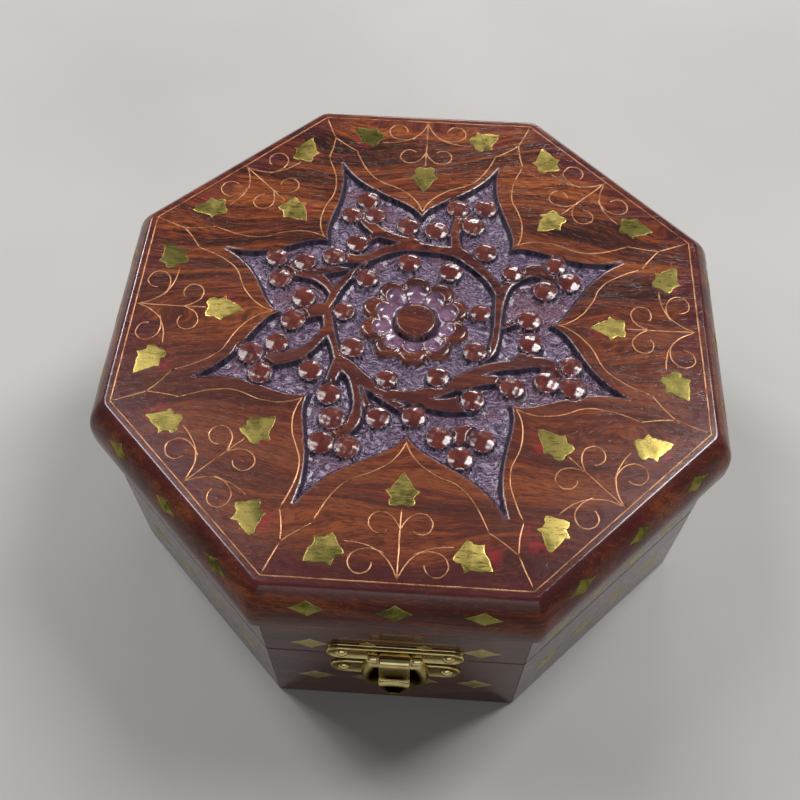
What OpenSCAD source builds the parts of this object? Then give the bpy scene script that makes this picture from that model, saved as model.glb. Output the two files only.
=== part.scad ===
// Octagonal wooden jewelry box: mitred walls, a thick carved and brass-inlaid lid on two butt hinges,
// and a snap hasp at the front.
// Z is up. The origin is the middle of the underside. The clasp is at -Y and the hinges are at +Y.

/* [Box] */
// Width across the flats of the lid's top panel
box_w = 150; // [146:1:160]
// Height of the base walls
base_h = 32; // [31:1:44]
// Height of the lid's skirt
skirt_h = 20.7; // [18:0.1:26]
// How far the top panel stands out past the walls
overhang = 2.4; // [1.8:0.1:3]
// Thickness of the wall boards
wall_t = 8; // [7:0.5:10]
// Thickness of the floor panel
floor_t = 5; // [4:0.5:7]
// Gap between the closed lid and the base
seam_gap = 0.3; // [0.3:0.05:0.5]

/* [Top panel] */
// Thickness of the top panel
panel_t = 13; // [12:0.5:15]
// Depth of the panel's widest line below its flat top
edge_drop = 9.6; // [8.5:0.1:10]
// How far the flat top is set back from the widest line
edge_setback = 5; // [4:0.1:6]
// Depth of the carved ground
carving_depth = 2; // [2:0.25:4]
// Depth of the brass leaves and diamonds
inlay_t = 0.8; // [0.5:0.1:1.2]
// Width and depth of the inlaid wire
wire_w = 0.45; // [0.3:0.05:0.7]

/* [Lining] */
// Thickness of the wall linings
lining_t = 1; // [0.6:0.1:1.5]
// Thickness of the padded linings on the floor and under the top panel
pad_t = 2.4; // [1.5:0.1:4]

/* [Hinges] */
// Distance of each hinge from the middle
hinge_x = 17; // [13:0.5:17]
// Width of a hinge
hinge_w = 20; // [16:1:20]
// Radius of a hinge pin
hinge_pin_r = 0.6; // [0.5:0.05:0.7]

/* [Clasp] */
// Width of the clasp's plates
clasp_w = 31.8; // [29:0.1:36]
// Width of the hasp's tongue
tongue_w = 7.3; // [6:0.1:8]
// Radius of the hasp's pin
clasp_pin_r = 0.5; // [0.4:0.05:0.6]

/* [Hidden] */
sides = ["front", "front_right", "right", "rear_right", "rear", "rear_left", "left", "front_left"];

$fn = 48;
tiny = 0.01;
wood = [0.45, 0.22, 0.13];
dark_wood = [0.36, 0.17, 0.11];
brass = [0.78, 0.66, 0.36];
copper = [0.82, 0.62, 0.46];
velvet = [0.45, 0.05, 0.08];

half_w = box_w / 2;
scale_k = box_w / 150;
mitre = tan(22.5);
wall_a = half_w - overhang;
inner_a = wall_a - wall_t;
seam_z = base_h + seam_gap / 2;
lid_z = base_h + seam_gap;
panel_z = lid_z + skirt_h;
top_z = panel_z + panel_t;
run_gap = 0.04;

// ---- Octagons and the mitred boards ----

module octagon(apothem) {
    intersection() {
        square(2 * apothem, center = true);
        rotate(45) square(2 * apothem, center = true);
    }
}

module octagon_ring(outer, inner) {
    difference() {
        octagon(outer);
        octagon(inner);
    }
}

// One side of an eight-sided ring, the side that faces -Y.
module board_outline(outer, inner) {
    polygon([[-outer * mitre, -outer], [outer * mitre, -outer], [inner * mitre, -inner],
             [-inner * mitre, -inner]]);
}

module around(k) {
    rotate(45 * k) children();
}

// ---- Brass diamonds ----

diamond_w = 9.2;
diamond_h = 6.2;
diamond_step = 13 * scale_k;
diamonds_a_side = 4;
skirt_diamond_z = seam_z + 5.6;
base_diamond_z = 14.4;
edge_diamond_w = 7.8;
edge_diamond_h = 4;
edge_diamond_step = 18.5 * scale_k;

// A diamond with hollowed sides, upright in the XZ plane, going into the wood from y = 0 to +Y.
module diamond(w, h, depth) {
    hollow = 0.42;
    rotate([90, 0, 0]) translate([0, 0, -depth]) linear_extrude(depth)
        polygon([[-w / 2, 0], [-w / 4 * hollow * 2, h / 2 * (1 - hollow)], [0, h / 2],
                 [w / 4 * hollow * 2, h / 2 * (1 - hollow)], [w / 2, 0],
                 [w / 4 * hollow * 2, -h / 2 * (1 - hollow)], [0, -h / 2],
                 [-w / 4 * hollow * 2, -h / 2 * (1 - hollow)]]);
}

module wall_diamond_row(z) {
    for (i = [0:diamonds_a_side - 1])
        translate([(i - (diamonds_a_side - 1) / 2) * diamond_step, -wall_a, z])
            diamond(diamond_w, diamond_h, inlay_t);
}

// The widest part of the moulded edge leans outwards; the diamonds lie square to it at mid height.
edge_r = (edge_setback * edge_setback + edge_drop * edge_drop) / (2 * edge_setback);
edge_diamond_angle = 28;

module edge_diamond_row() {
    for (i = [-1:1])
        translate([i * edge_diamond_step, 0, 0])
            translate([0, -(half_w - edge_r), top_z - edge_drop])
                rotate([-edge_diamond_angle, 0, 0]) translate([0, -edge_r, 0])
                    diamond(edge_diamond_w, edge_diamond_h, inlay_t);
}

// ---- Hinges: butt hinges let into the rims, with heels that stop the lid ----

axis_out = 1.9;
hinge_y = wall_a + axis_out;
knuckle_r = 1.6;
leaf_t = 0.8;
leaf_depth = 6;
middle_w = 7.8;
knuckle_gap = 0.2;
heel_in = 1.9;
heel_out = 4.2;
heel_t = 0.8;
lid_open = 95;
heel_angle = (lid_open + 5) / 2;
screw_step = 12;
screw_y = wall_a - 3.4;

// The outer knuckles belong to the base and the middle one to the lid.
outer_w = (hinge_w - middle_w) / 2 - knuckle_gap;

module knuckle_stretches(is_lid) {
    for (x = is_lid ? [-middle_w / 2] : [-hinge_w / 2, hinge_w / 2 - outer_w])
        translate([x, 0, 0]) rotate([0, 90, 0]) children();
}

// A leaf about its own pin axis. up is 1 for the lid's leaf and -1 for the base's.
module hinge_leaf(up) {
    is_lid = up > 0;
    stretch = is_lid ? middle_w : outer_w;
    bore_r = hinge_pin_r + (is_lid ? run_gap : 0);
    face = seam_gap / 2;
    difference() {
        union() {
            // the flat leaf, which stops short of the other leaf's knuckles
            translate([-hinge_w / 2, -axis_out - leaf_depth, up > 0 ? face : -face - leaf_t])
                cube([hinge_w, leaf_depth, leaf_t]);
            knuckle_stretches(is_lid) translate([up > 0 ? -face - leaf_t : face, -axis_out - tiny, 0])
                cube([leaf_t, axis_out, stretch]);
            knuckle_stretches(is_lid) cylinder(r = knuckle_r, h = stretch);
            // the heel, full width past the knuckles, and its root on the leaf's own knuckles
            rotate([up * heel_angle, 0, 0])
                translate([-hinge_w / 2, heel_in, up > 0 ? 0 : -heel_t])
                    cube([hinge_w, heel_out - heel_in, heel_t]);
            rotate([up * heel_angle, 0, 0]) knuckle_stretches(is_lid)
                translate([up > 0 ? -heel_t : 0, knuckle_r - 0.6, 0])
                    cube([heel_t, heel_in - knuckle_r + 1, stretch]);
        }
        translate([-hinge_w, 0, 0]) rotate([0, 90, 0]) cylinder(r = bore_r, h = 2 * hinge_w);
        for (x = [-1, 1]) translate([x * screw_step / 2, screw_y - hinge_y, up * face])
            flush_screw(up);
    }
}

screw_head_r = 1.4;
screw_shank_r = 0.7;
screw_head_h = 0.7;
screw_len = 6;

// A countersunk screw whose head is flush at z = 0; up is the way that its shank goes.
module flush_screw(up) {
    rotate([up > 0 ? 0 : 180, 0, 0]) {
        cylinder(r1 = screw_head_r, r2 = screw_shank_r, h = screw_head_h);
        cylinder(r = screw_shank_r, h = screw_len);
    }
}

module slotted_screw(up) {
    difference() {
        flush_screw(up);
        cube([2 * screw_head_r + 1, 0.4, 0.5], center = true);
    }
}

module hinge_screw_places(up) {
    for (h = [-1, 1], x = [-1, 1])
        translate([h * hinge_x + x * screw_step / 2, screw_y, seam_z + up * seam_gap / 2]) children();
}

module at_hinge(side) {
    translate([side * hinge_x, hinge_y, seam_z]) children();
}

// Room in a rim for both leaves and their screws.
module hinge_mortises(up) {
    for (side = [-1, 1])
        at_hinge(side) translate([-hinge_w / 2, -axis_out - leaf_depth, up > 0 ? 0 : -seam_gap / 2 - leaf_t])
            cube([hinge_w, leaf_depth + 1, seam_gap / 2 + leaf_t]);
    hinge_screw_places(up) flush_screw(up);
}

module hinge_pin(side) {
    color(brass) at_hinge(side) translate([-hinge_w / 2, 0, 0]) rotate([0, 90, 0])
        cylinder(r = hinge_pin_r, h = hinge_w);
}

module hinge_base_leaf(side) {
    color(brass) at_hinge(side) hinge_leaf(-1);
}

module hinge_lid_leaf(side) {
    color(brass) at_hinge(side) hinge_leaf(1);
}

module hinge_base_screws() {
    color(brass) hinge_screw_places(-1) slotted_screw(-1);
}

module hinge_lid_screws() {
    color(brass) hinge_screw_places(1) slotted_screw(1);
}

// ---- Clasp: heights are above the underside, depths are out from the front wall ----

upper_h = 7.2;
upper_z = lid_z + 0.1 + upper_h / 2;
upper_t = 1.3;
sheet_t = 0.5;
keeper_h = 8;
keeper_z = base_h - 7.6;
keeper_t = 0.7;
clasp_screw_x = clasp_w / 2 - 3.6;
pin_out = 2.1;
pin_z = upper_z + 0.8;
clasp_knuckle_r = 1.3;
clasp_knuckle_w = 2.3;
clasp_knuckle_gap = 0.25;

// Turns a shape drawn as (x, height) into one that stands on the front wall and grows outwards.
module on_front(out) {
    translate([0, -wall_a - out, 0]) rotate([90, 0, 0]) children();
}

// Turns a shape drawn as (out, height) into one extruded along X, centred on x = 0.
module across_front(w) {
    translate([w / 2, -wall_a, 0]) rotate([90, 0, -90]) linear_extrude(w) children();
}

module round_ended_strip(w, h) {
    square([w - h, h], center = true);
    for (x = [-1, 1]) translate([x * (w - h) / 2, 0]) circle(d = h);
}

module clasp_bores(z, depth) {
    for (x = [-1, 1]) translate([x * clasp_screw_x, -wall_a - depth, z]) rotate([-90, 0, 0])
        round_screw_shank();
}

round_head_r = 1.5;
round_head_h = 0.8;
round_shank_r = 0.75;

module round_screw_shank() {
    cylinder(r = round_shank_r, h = screw_len);
}

// A round-headed slotted screw; its head stands out of z = 0 towards -Z.
module round_screw() {
    dome_r = (round_head_r * round_head_r + round_head_h * round_head_h) / (2 * round_head_h);
    difference() {
        union() {
            round_screw_shank();
            intersection() {
                translate([0, 0, dome_r - round_head_h]) sphere(r = dome_r);
                translate([0, 0, -round_head_h]) cylinder(r = round_head_r, h = round_head_h);
            }
        }
        translate([0, 0, -round_head_h]) cube([2 * round_head_r + 1, 0.4, 0.8], center = true);
    }
}

module clasp_screws(z, depth) {
    color(brass) for (x = [-1, 1]) translate([x * clasp_screw_x, -wall_a - depth, z])
        rotate([-90, 0, 0]) round_screw();
}

module along_pin(x, w) {
    translate([x, -wall_a - pin_out, pin_z]) rotate([0, 90, 0]) children();
}

window_w = tongue_w + 0.6;
window_h = 2 * clasp_knuckle_r + 1.6;
side_knuckle_x = tongue_w / 2 + clasp_knuckle_gap;

// Sheet folded double along its lower edge: a slot between the layers runs to the top edge.
module clasp_upper_plate() {
    slot_t = 0.25;
    color(brass) difference() {
        union() {
            on_front(0) translate([0, upper_z, 0]) linear_extrude(upper_t)
                round_ended_strip(clasp_w, upper_h);
            for (x = [-side_knuckle_x - clasp_knuckle_w, side_knuckle_x]) {
                along_pin(x) cylinder(r = clasp_knuckle_r, h = clasp_knuckle_w);
                translate([x, -wall_a - pin_out, pin_z - clasp_knuckle_r])
                    cube([clasp_knuckle_w, pin_out - sheet_t, 2 * clasp_knuckle_r]);
            }
        }
        translate([-clasp_w / 2 - 1, -wall_a - sheet_t - slot_t, upper_z - upper_h / 2 + 1.4])
            cube([clasp_w + 2, slot_t, upper_h]);
        // the window that the hasp's knuckle turns in
        translate([-window_w / 2, -wall_a - upper_t - tiny, pin_z - window_h / 2])
            cube([window_w, upper_t - sheet_t, window_h]);
        along_pin(-clasp_w / 2) cylinder(r = clasp_pin_r, h = clasp_w);
        clasp_bores(upper_z, upper_t + 1);
    }
}

module clasp_pin() {
    reach = side_knuckle_x + clasp_knuckle_w;
    color(brass) along_pin(-reach) cylinder(r = clasp_pin_r, h = 2 * reach);
}

tongue_t = 0.7;
tongue_out = 4.2;
shelf_z = pin_z - 9.7;
lip_out = 5.4;
tip_z = pin_z - 17;

// The tongue from the side, as (out, height): over the knuckle, down, out along a shelf, down the lip.
module tongue_profile() {
    bend_r = 1.6;
    square_top = pin_z + clasp_knuckle_r;
    difference() {
        union() {
            translate([pin_out, pin_z]) circle(r = clasp_knuckle_r);
            translate([pin_out, square_top - bend_r]) square([tongue_out - pin_out - bend_r, bend_r]);
            translate([tongue_out - bend_r, square_top - bend_r]) circle(r = bend_r);
        }
        translate([pin_out, pin_z]) circle(r = clasp_pin_r + run_gap);
        translate([tongue_out - bend_r, square_top - bend_r]) circle(r = bend_r - tongue_t);
        translate([pin_out + clasp_pin_r + 0.45, square_top - 2 * bend_r - 1])
            square([tongue_out - tongue_t - pin_out - clasp_pin_r - 0.45, bend_r + 1]);
    }
    translate([tongue_out - tongue_t, shelf_z]) square([tongue_t, square_top - bend_r - shelf_z]);
    polygon([[tongue_out - tongue_t, shelf_z + tongue_t], [tongue_out - tongue_t, shelf_z],
             [lip_out - tongue_t, shelf_z - 1], [lip_out - tongue_t, tip_z],
             [lip_out, tip_z], [lip_out, shelf_z - 0.6], [tongue_out, shelf_z + tongue_t]]);
}

module clasp_hasp() {
    color(brass) intersection() {
        across_front(tongue_w) tongue_profile();
        // seen from the front, the tip is round
        on_front(-1) linear_extrude(lip_out + 3) {
            translate([0, tip_z + tongue_w / 2]) circle(d = tongue_w);
            translate([-tongue_w / 2, tip_z + tongue_w / 2]) square([tongue_w, 2 * tongue_w + 5]);
        }
    }
}

bell_r = 8.3;
bell_z = keeper_z - 1.4;
bell_top = pin_z - clasp_knuckle_r - 1.4;
bell_top_w = 12.4;
bell_out = 3;

module bell_outline(inset) {
    translate([0, bell_z]) circle(r = bell_r - inset);
    polygon([[-bell_r + inset, bell_z], [bell_r - inset, bell_z], [bell_top_w / 2 - inset, bell_top],
             [-bell_top_w / 2 + inset, bell_top]]);
}

// The bell's front from the side, as (out, height) points from its top edge down to its foot.
function bell_front(inset) = let (foot = bell_z - bell_r)
    [[bell_out * 0.83 - inset, bell_top - inset], [bell_out * 0.97 - inset, bell_z + 4],
     [bell_out - inset, bell_z], [bell_out * 0.95 - inset, foot + 3],
     [bell_out * 0.7 - inset, foot + 1], [keeper_t - 0.1 - inset, foot + inset]];

// A pressing, open behind; its upper part stands clear of the upper plate.
module clasp_keeper_plate() {
    pressing_t = 0.6;
    clear_out = upper_t + 0.3;
    color(brass) difference() {
        union() {
            on_front(0) translate([0, keeper_z, 0]) linear_extrude(keeper_t)
                round_ended_strip(clasp_w - 0.6, keeper_h);
            intersection() {
                on_front(0) linear_extrude(bell_out + 1) bell_outline(0);
                across_front(2 * bell_r + 1) polygon(concat(bell_front(0),
                    [[0, bell_z - bell_r], [0, keeper_z + keeper_h / 2],
                     [clear_out, keeper_z + keeper_h / 2], [clear_out, bell_top]]));
            }
        }
        intersection() {
            on_front(-2) linear_extrude(bell_out + 3) bell_outline(pressing_t);
            across_front(2 * bell_r + 1) polygon(concat(bell_front(pressing_t),
                [[-1, bell_z - bell_r + pressing_t], [-1, bell_top - pressing_t]]));
        }
        clasp_bores(keeper_z, keeper_t + 1);
    }
}

// ---- Base ----

module base_wall(k) {
    color(dark_wood) difference() {
        around(k) linear_extrude(base_h) board_outline(wall_a, inner_a);
        around(k) wall_diamond_row(base_diamond_z);
        if (k == 4) hinge_mortises(-1);
        if (k == 0) clasp_bores(keeper_z, keeper_t);
    }
}

module base_floor_panel() {
    color(wood) linear_extrude(floor_t) octagon(inner_a);
}

module base_floor_lining() {
    color(velvet) translate([0, 0, floor_t]) linear_extrude(pad_t) octagon(inner_a);
}

module base_wall_lining() {
    rim = 1.5;
    foot = floor_t + pad_t;
    color(velvet) translate([0, 0, foot]) linear_extrude(base_h - rim - foot)
        octagon_ring(inner_a, inner_a - lining_t);
}

module base_wall_diamonds() {
    color(brass) for (k = [0:7]) around(k) wall_diamond_row(base_diamond_z);
}

// ---- Lid walls and linings ----

module lid_wall(k) {
    color(dark_wood) difference() {
        around(k) translate([0, 0, lid_z]) linear_extrude(skirt_h) board_outline(wall_a, inner_a);
        around(k) wall_diamond_row(skirt_diamond_z);
        if (k == 4) hinge_mortises(1);
        if (k == 0) clasp_bores(upper_z, upper_t);
    }
}

module lid_wall_diamonds() {
    color(brass) for (k = [0:7]) around(k) wall_diamond_row(skirt_diamond_z);
}

module lid_top_lining() {
    color(velvet) translate([0, 0, panel_z - pad_t]) linear_extrude(pad_t) octagon(inner_a);
}

module lid_wall_lining() {
    rim = 1.5;
    color(velvet) translate([0, 0, lid_z + rim]) linear_extrude(skirt_h - pad_t - rim)
        octagon_ring(inner_a, inner_a - lining_t);
}

// ---- Curves for the star and the wires ----

function bezier(p, n, first = 0) = [for (i = [first:n]) let (t = i / n, s = 1 - t)
    s * s * s * p[0] + 3 * s * s * t * p[1] + 3 * s * t * t * p[2] + t * t * t * p[3]];
function turned(p, a) = [p[0] * cos(a) - p[1] * sin(a), p[0] * sin(a) + p[1] * cos(a)];
function unit(v) = v / norm(v);
function heading(p, i) = unit(p[min(i + 1, len(p) - 1)] - p[max(i - 1, 0)]);
function beside(p, i, d) = p[i] + d * [-heading(p, i)[1], heading(p, i)[0]];

// A strip of the wire's width along a row of points.
module strip(p) {
    last = len(p) - 1;
    polygon(scale_k * concat([for (i = [0:last]) beside(p, i, wire_w / 2)],
                             [for (i = [last:-1:0]) beside(p, i, -wire_w / 2)]));
}

// ---- Star pocket: eight ogee petals, their tips on the octagon's corners ----

valley = turned([33, 0], 22.5);
petal_tip = [55, 0];
petal_side = [valley, [38, 12], [41, 1.6], petal_tip];
petal_steps = 10;

function mirrored(p) = [p[0], -p[1]];
star_points = [for (k = [0:7], half = [0, 1], i = [0:petal_steps - 1])
    let (curve = bezier(petal_side, petal_steps))
    turned(half == 0 ? mirrored(curve[i]) : curve[petal_steps - i], 45 * k + 22.5)];

module star_pocket() {
    translate([0, 0, top_z - carving_depth]) linear_extrude(carving_depth + 1)
        polygon(scale_k * star_points);
}

// ---- What the carver leaves standing in the pocket ----

boss_r = 4.9;
flower_petals = 10;
flower_r = 9.7;
flower_petal_r = 3.5;
vine_r = 21.5;
vine_w = 2.4;
berry_r = 2.5;
inner_berry_r = 16.8;
inner_berries = 9;
trefoil_r = 37;
trefoil_spread = 3.4;
ground_z = top_z - carving_depth;

module berry(r, a) {
    rotate(a) translate([r * scale_k, 0, ground_z]) intersection() {
        sphere(r = berry_r);
        translate([0, 0, -0.5]) cylinder(r = berry_r + 1, h = berry_r + 2);
    }
}

module carved_relief() {
    sunk = 0.5;
    translate([0, 0, ground_z - sunk]) {
        cylinder(r = boss_r * scale_k, h = carving_depth + sunk);
        for (i = [0:flower_petals - 1]) rotate((i + 0.5) * 360 / flower_petals)
            translate([flower_r * scale_k, 0, 0])
                cylinder(r = flower_petal_r * scale_k, h = carving_depth * 0.6 + sunk);
        cylinder(r = flower_r * scale_k, h = carving_depth * 0.5 + sunk);
        linear_extrude(carving_depth + sunk - 0.3) {
            difference() {
                circle(r = scale_k * (vine_r + vine_w / 2));
                circle(r = scale_k * (vine_r - vine_w / 2));
            }
            for (k = [0:7]) rotate(45 * k + 22.5)
                translate([scale_k * vine_r, -scale_k * vine_w / 2])
                    square(scale_k * [trefoil_r - trefoil_spread - vine_r, vine_w]);
        }
    }
    for (i = [0:inner_berries - 1]) berry(inner_berry_r, 22 + i * 360 / inner_berries);
    for (k = [0:7]) {
        berry(trefoil_r + trefoil_spread, 45 * k + 22.5);
        for (s = [-1, 1]) berry(trefoil_r - 1, 45 * k + 22.5 + s * 6);
    }
}

// ---- Leaves ----

leaf_points = [[0, 0.5], [0.3, 2.4], [2, 3.3], [3.7, 3.9], [4.6, 2.9], [6.6, 2.1], [9, 0]];
leaf_outline = concat([for (p = leaf_points) p],
                      [for (i = [len(leaf_points) - 2:-1:0]) mirrored(leaf_points[i])]);
centre_leaf_base = 51;
side_leaf_base = [12.6, 60];
side_leaf_turn = 32;

module leaf_2d() {
    polygon(scale_k * leaf_outline);
}

// Panel drawings have x along the side and -y out towards it, and repeat round the octagon.
module centre_leaves_2d() {
    for (k = [0:7]) rotate(45 * k) translate([0, -centre_leaf_base * scale_k]) rotate(90) leaf_2d();
}

module side_leaves_2d() {
    for (k = [0:7], s = [-1, 1]) rotate(45 * k)
        mirror([s < 0 ? 1 : 0, 0]) translate(scale_k * [side_leaf_base[0], -side_leaf_base[1]])
            rotate(-side_leaf_turn) leaf_2d();
}

module inlaid(depth) {
    translate([0, 0, top_z - depth]) linear_extrude(depth) children();
}

// ---- Wires ----

border_a = 68.5;
arch_apex = [0, -34.6];
arch_shoulder = [9.7, -44];
arch_cusp = [18.9, -56];
arch_joint = [25.2, -60.8];
curve_steps = 5;
arch_points = concat(
    bezier([arch_apex, [0.8, -38.5], [4.5, -42.3], arch_shoulder], curve_steps),
    bezier([arch_shoulder, [13.6, -45.4], [16.2, -49], arch_cusp], curve_steps, 1),
    bezier([arch_cusp, [20.6, -57], [23.2, -58.8], arch_joint], curve_steps, 1));
corner_gap = 0.6;

module half_arch() {
    strip(arch_points);
}

module arches_2d() {
    for (k = [0:7], s = [0, 1]) rotate(45 * k) mirror([s, 0]) half_arch();
    for (k = [0:7]) rotate(45 * k)
        strip([arch_joint, (border_a - corner_gap) * [mitre, -1]]);
}

module border_2d() {
    octagon_ring(scale_k * border_a + wire_w / 2, scale_k * border_a - wire_w / 2);
}

// A scroll about c: it starts far out at angle a0 and closes quickly on the ring of radius r1.
function scroll(c, r0, r1, a0, a1, n) = [for (i = [0:n]) let (t = i / n, a = a0 + t * (a1 - a0))
    c + (r1 + (r0 - r1) * exp(-9 * t)) * [cos(a), -sin(a)]];
scroll_steps = 14;
upper_scroll = scroll([4.5, -54.9], 4.8, 2.4, 160, 498, scroll_steps);
lower_scroll = scroll([8, -64.3], 5.5, 2.5, 205, 545, scroll_steps);
side_stem = bezier([[0.1, -67.6], [1.6, -63], [4.5, -59.6], [12.1, -59.7]], curve_steps + 2);

module scrolls_2d() {
    for (k = [0:7]) rotate(45 * k) {
        strip([[0, -centre_leaf_base - 0.2], [0, -border_a + corner_gap]]);
        for (s = [0, 1]) mirror([s, 0]) {
            strip(upper_scroll);
            strip(lower_scroll);
            strip(side_stem);
        }
    }
}

// ---- Top panel ----

under_r = 2.4;
edge_steps = 8;

// Half of the panel's section, from its flat top down the swelling edge to its underside.
function edge_point(a) = [half_w - edge_r + edge_r * cos(a), panel_t - edge_drop + edge_r * sin(a)];
function under_point(a) = [half_w - under_r + under_r * cos(a), under_r + under_r * sin(a)];
top_angle = asin(edge_drop / edge_r);
half_section = concat([for (i = [edge_steps:-1:0]) edge_point(top_angle * i / edge_steps)],
                      [for (i = [0:4]) under_point(-90 * i / 4)]);
corner_cut = 0.7;
corner_section = [for (p = half_section) [p[0] / cos(22.5) - corner_cut, p[1]]];

// A bar with the same moulded edge on both of its long sides.
module moulded_bar(section) {
    last = len(section) - 1;
    rotate([90, 0, 0]) linear_extrude(2 * box_w, center = true)
        polygon(concat(section, [for (i = [last:-1:0]) [-section[i][0], section[i][1]]]));
}

// Eight moulded sides, and eight narrow flats that take off their corners.
module panel_slab() {
    translate([0, 0, panel_z]) intersection() {
        moulded_bar(half_section);
        rotate(45) moulded_bar(half_section);
        rotate(90) moulded_bar(half_section);
        rotate(135) moulded_bar(half_section);
        rotate(22.5) moulded_bar(corner_section);
        rotate(67.5) moulded_bar(corner_section);
        rotate(112.5) moulded_bar(corner_section);
        rotate(157.5) moulded_bar(corner_section);
    }
}

module lid_top_panel() {
    color(wood) {
        difference() {
            panel_slab();
            star_pocket();
            inlaid(inlay_t) {
                centre_leaves_2d();
                side_leaves_2d();
            }
            inlaid(wire_w) {
                border_2d();
            }
            for (k = [0:7]) around(k) edge_diamond_row();
        }
        carved_relief();
    }
}

module lid_edge_diamonds() {
    color(brass) intersection() {
        for (k = [0:7]) around(k) edge_diamond_row();
        panel_slab();
    }
}

module centre_leaf_inlays() {
    color(brass) inlaid(inlay_t) centre_leaves_2d();
}

module side_leaf_inlays() {
    color(brass) inlaid(inlay_t) side_leaves_2d();
}

module border_wire_inlay() {
    color(copper) inlaid(wire_w) border_2d();
}

module arch_wire_inlays() {
    color(copper) inlaid(wire_w) arches_2d();
}

module scroll_wire_inlays() {
    color(copper) inlaid(wire_w) scrolls_2d();
}

for (k = [0:7]) base_wall(k);
base_floor_panel();
base_floor_lining();
base_wall_lining();
base_wall_diamonds();
clasp_keeper_plate();
clasp_screws(keeper_z, keeper_t);  // clasp_keeper_screws
hinge_base_leaf(-1);  // left_hinge_base_leaf
hinge_base_leaf(1);  // right_hinge_base_leaf
hinge_pin(-1);  // left_hinge_pin
hinge_pin(1);  // right_hinge_pin
hinge_base_screws();
for (k = [0:7]) lid_wall(k);
lid_top_panel();
lid_edge_diamonds();
lid_wall_diamonds();
centre_leaf_inlays();
side_leaf_inlays();
border_wire_inlay();
arch_wire_inlays();
scroll_wire_inlays();
lid_top_lining();
lid_wall_lining();
hinge_lid_leaf(-1);  // left_hinge_lid_leaf
hinge_lid_leaf(1);  // right_hinge_lid_leaf
hinge_lid_screws();
clasp_upper_plate();
clasp_screws(upper_z, upper_t);  // clasp_upper_screws
clasp_pin();
clasp_hasp();
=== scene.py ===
import math

import bmesh
import bpy
import numpy as np
from mathutils import Matrix, Vector
from mathutils.geometry import delaunay_2d_cdt


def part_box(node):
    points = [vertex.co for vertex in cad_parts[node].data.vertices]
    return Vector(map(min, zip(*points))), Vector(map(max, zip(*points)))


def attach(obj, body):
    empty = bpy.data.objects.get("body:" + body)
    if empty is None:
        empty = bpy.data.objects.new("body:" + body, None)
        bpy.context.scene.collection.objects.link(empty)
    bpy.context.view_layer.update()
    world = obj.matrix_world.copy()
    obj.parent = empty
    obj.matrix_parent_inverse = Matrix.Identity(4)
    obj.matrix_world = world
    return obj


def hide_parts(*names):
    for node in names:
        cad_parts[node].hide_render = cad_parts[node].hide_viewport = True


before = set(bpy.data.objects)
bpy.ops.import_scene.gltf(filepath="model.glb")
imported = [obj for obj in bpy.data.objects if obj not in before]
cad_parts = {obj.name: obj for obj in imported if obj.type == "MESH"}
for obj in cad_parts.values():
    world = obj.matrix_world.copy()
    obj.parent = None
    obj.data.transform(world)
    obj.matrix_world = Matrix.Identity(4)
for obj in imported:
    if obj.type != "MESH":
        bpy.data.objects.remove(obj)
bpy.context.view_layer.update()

MM = 0.001
RNG = np.random.default_rng(11)
MITRE = math.tan(math.radians(22.5))
SIDES = ["front", "front_right", "right", "rear_right", "rear", "rear_left", "left", "front_left"]


def box_mm(node):
    lo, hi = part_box(node)
    return np.array(lo) / MM, np.array(hi) / MM


PANEL_LO, PANEL_HI = box_mm("lid_top_panel")
WALL_LO, WALL_HI = box_mm("base_wall_front")
HALF_W = PANEL_HI[0]
PANEL_T = PANEL_HI[2] - PANEL_LO[2]
WALL_A = -WALL_LO[1]
INNER_A = -WALL_HI[1]
BASE_H = WALL_HI[2]
LID_Z = box_mm("lid_wall_front")[0][2]
GRAIN_SHIFT = 300
# the wood lies a hair below the CAD's flat top, so that wires and leaves can stand proud inside its box
PROUD = 0.07
TOP_Z = PANEL_HI[2] - PROUD


# ---- Small geometry helpers ----

def turned(points, degrees):
    """A point, or rows of points, turned about Z; a height stays as it is."""
    c, s = math.cos(math.radians(degrees)), math.sin(math.radians(degrees))
    points = np.array(points, float)
    out = points.copy()
    out[..., 0] = points[..., 0] * c - points[..., 1] * s
    out[..., 1] = points[..., 0] * s + points[..., 1] * c
    return out


def arc(centre, radius, angles):
    """The points of a circle at the angles, in degrees."""
    return [(centre[0] + radius * math.cos(math.radians(a)), centre[1] + radius * math.sin(math.radians(a)))
            for a in angles]


def at_height(xy, z):
    """Rows of (x, y) with one height for all, or a height for each."""
    return np.column_stack([xy, np.full(len(xy), z)])


def from_front(verts):
    """(x, height, out from the front wall) as points in the row's frame."""
    verts = np.asarray(verts, float)
    return np.stack([verts[:, 0], -WALL_A - verts[:, 2], verts[:, 1]], axis=1)


def bezier(p, n):
    t = np.linspace(0, 1, n + 1)[:, None]
    s = 1 - t
    p = np.array(p, float)
    return s ** 3 * p[0] + 3 * s * s * t * p[1] + 3 * s * t * t * p[2] + t ** 3 * p[3]


def smooth_path(points, n):
    """A Catmull-Rom curve through the points, whatever their number of columns."""
    p = np.array(points, float)
    p = np.vstack([2 * p[0] - p[1], p, 2 * p[-1] - p[-2]])
    t = np.linspace(0, 1, n, endpoint=False)[:, None]
    out = []
    for a, b, c, d in zip(p, p[1:], p[2:], p[3:]):
        out.append(0.5 * (2 * b + (c - a) * t + (2 * a - 5 * b + 4 * c - d) * t ** 2
                          + (3 * b - a - 3 * c + d) * t ** 3))
    return np.vstack(out + [p[-2:-1]])


def smoothstep(lo, hi, x):
    t = np.clip((x - lo) / (hi - lo), 0, 1)
    return t * t * (3 - 2 * t)


def octagon_radius(x, y):
    """The apothem of the octagon, round the middle, that a point lies on."""
    x, y = np.abs(x), np.abs(y)
    return np.maximum(np.maximum(x, y), (x + y) * math.sqrt(0.5))


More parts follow.
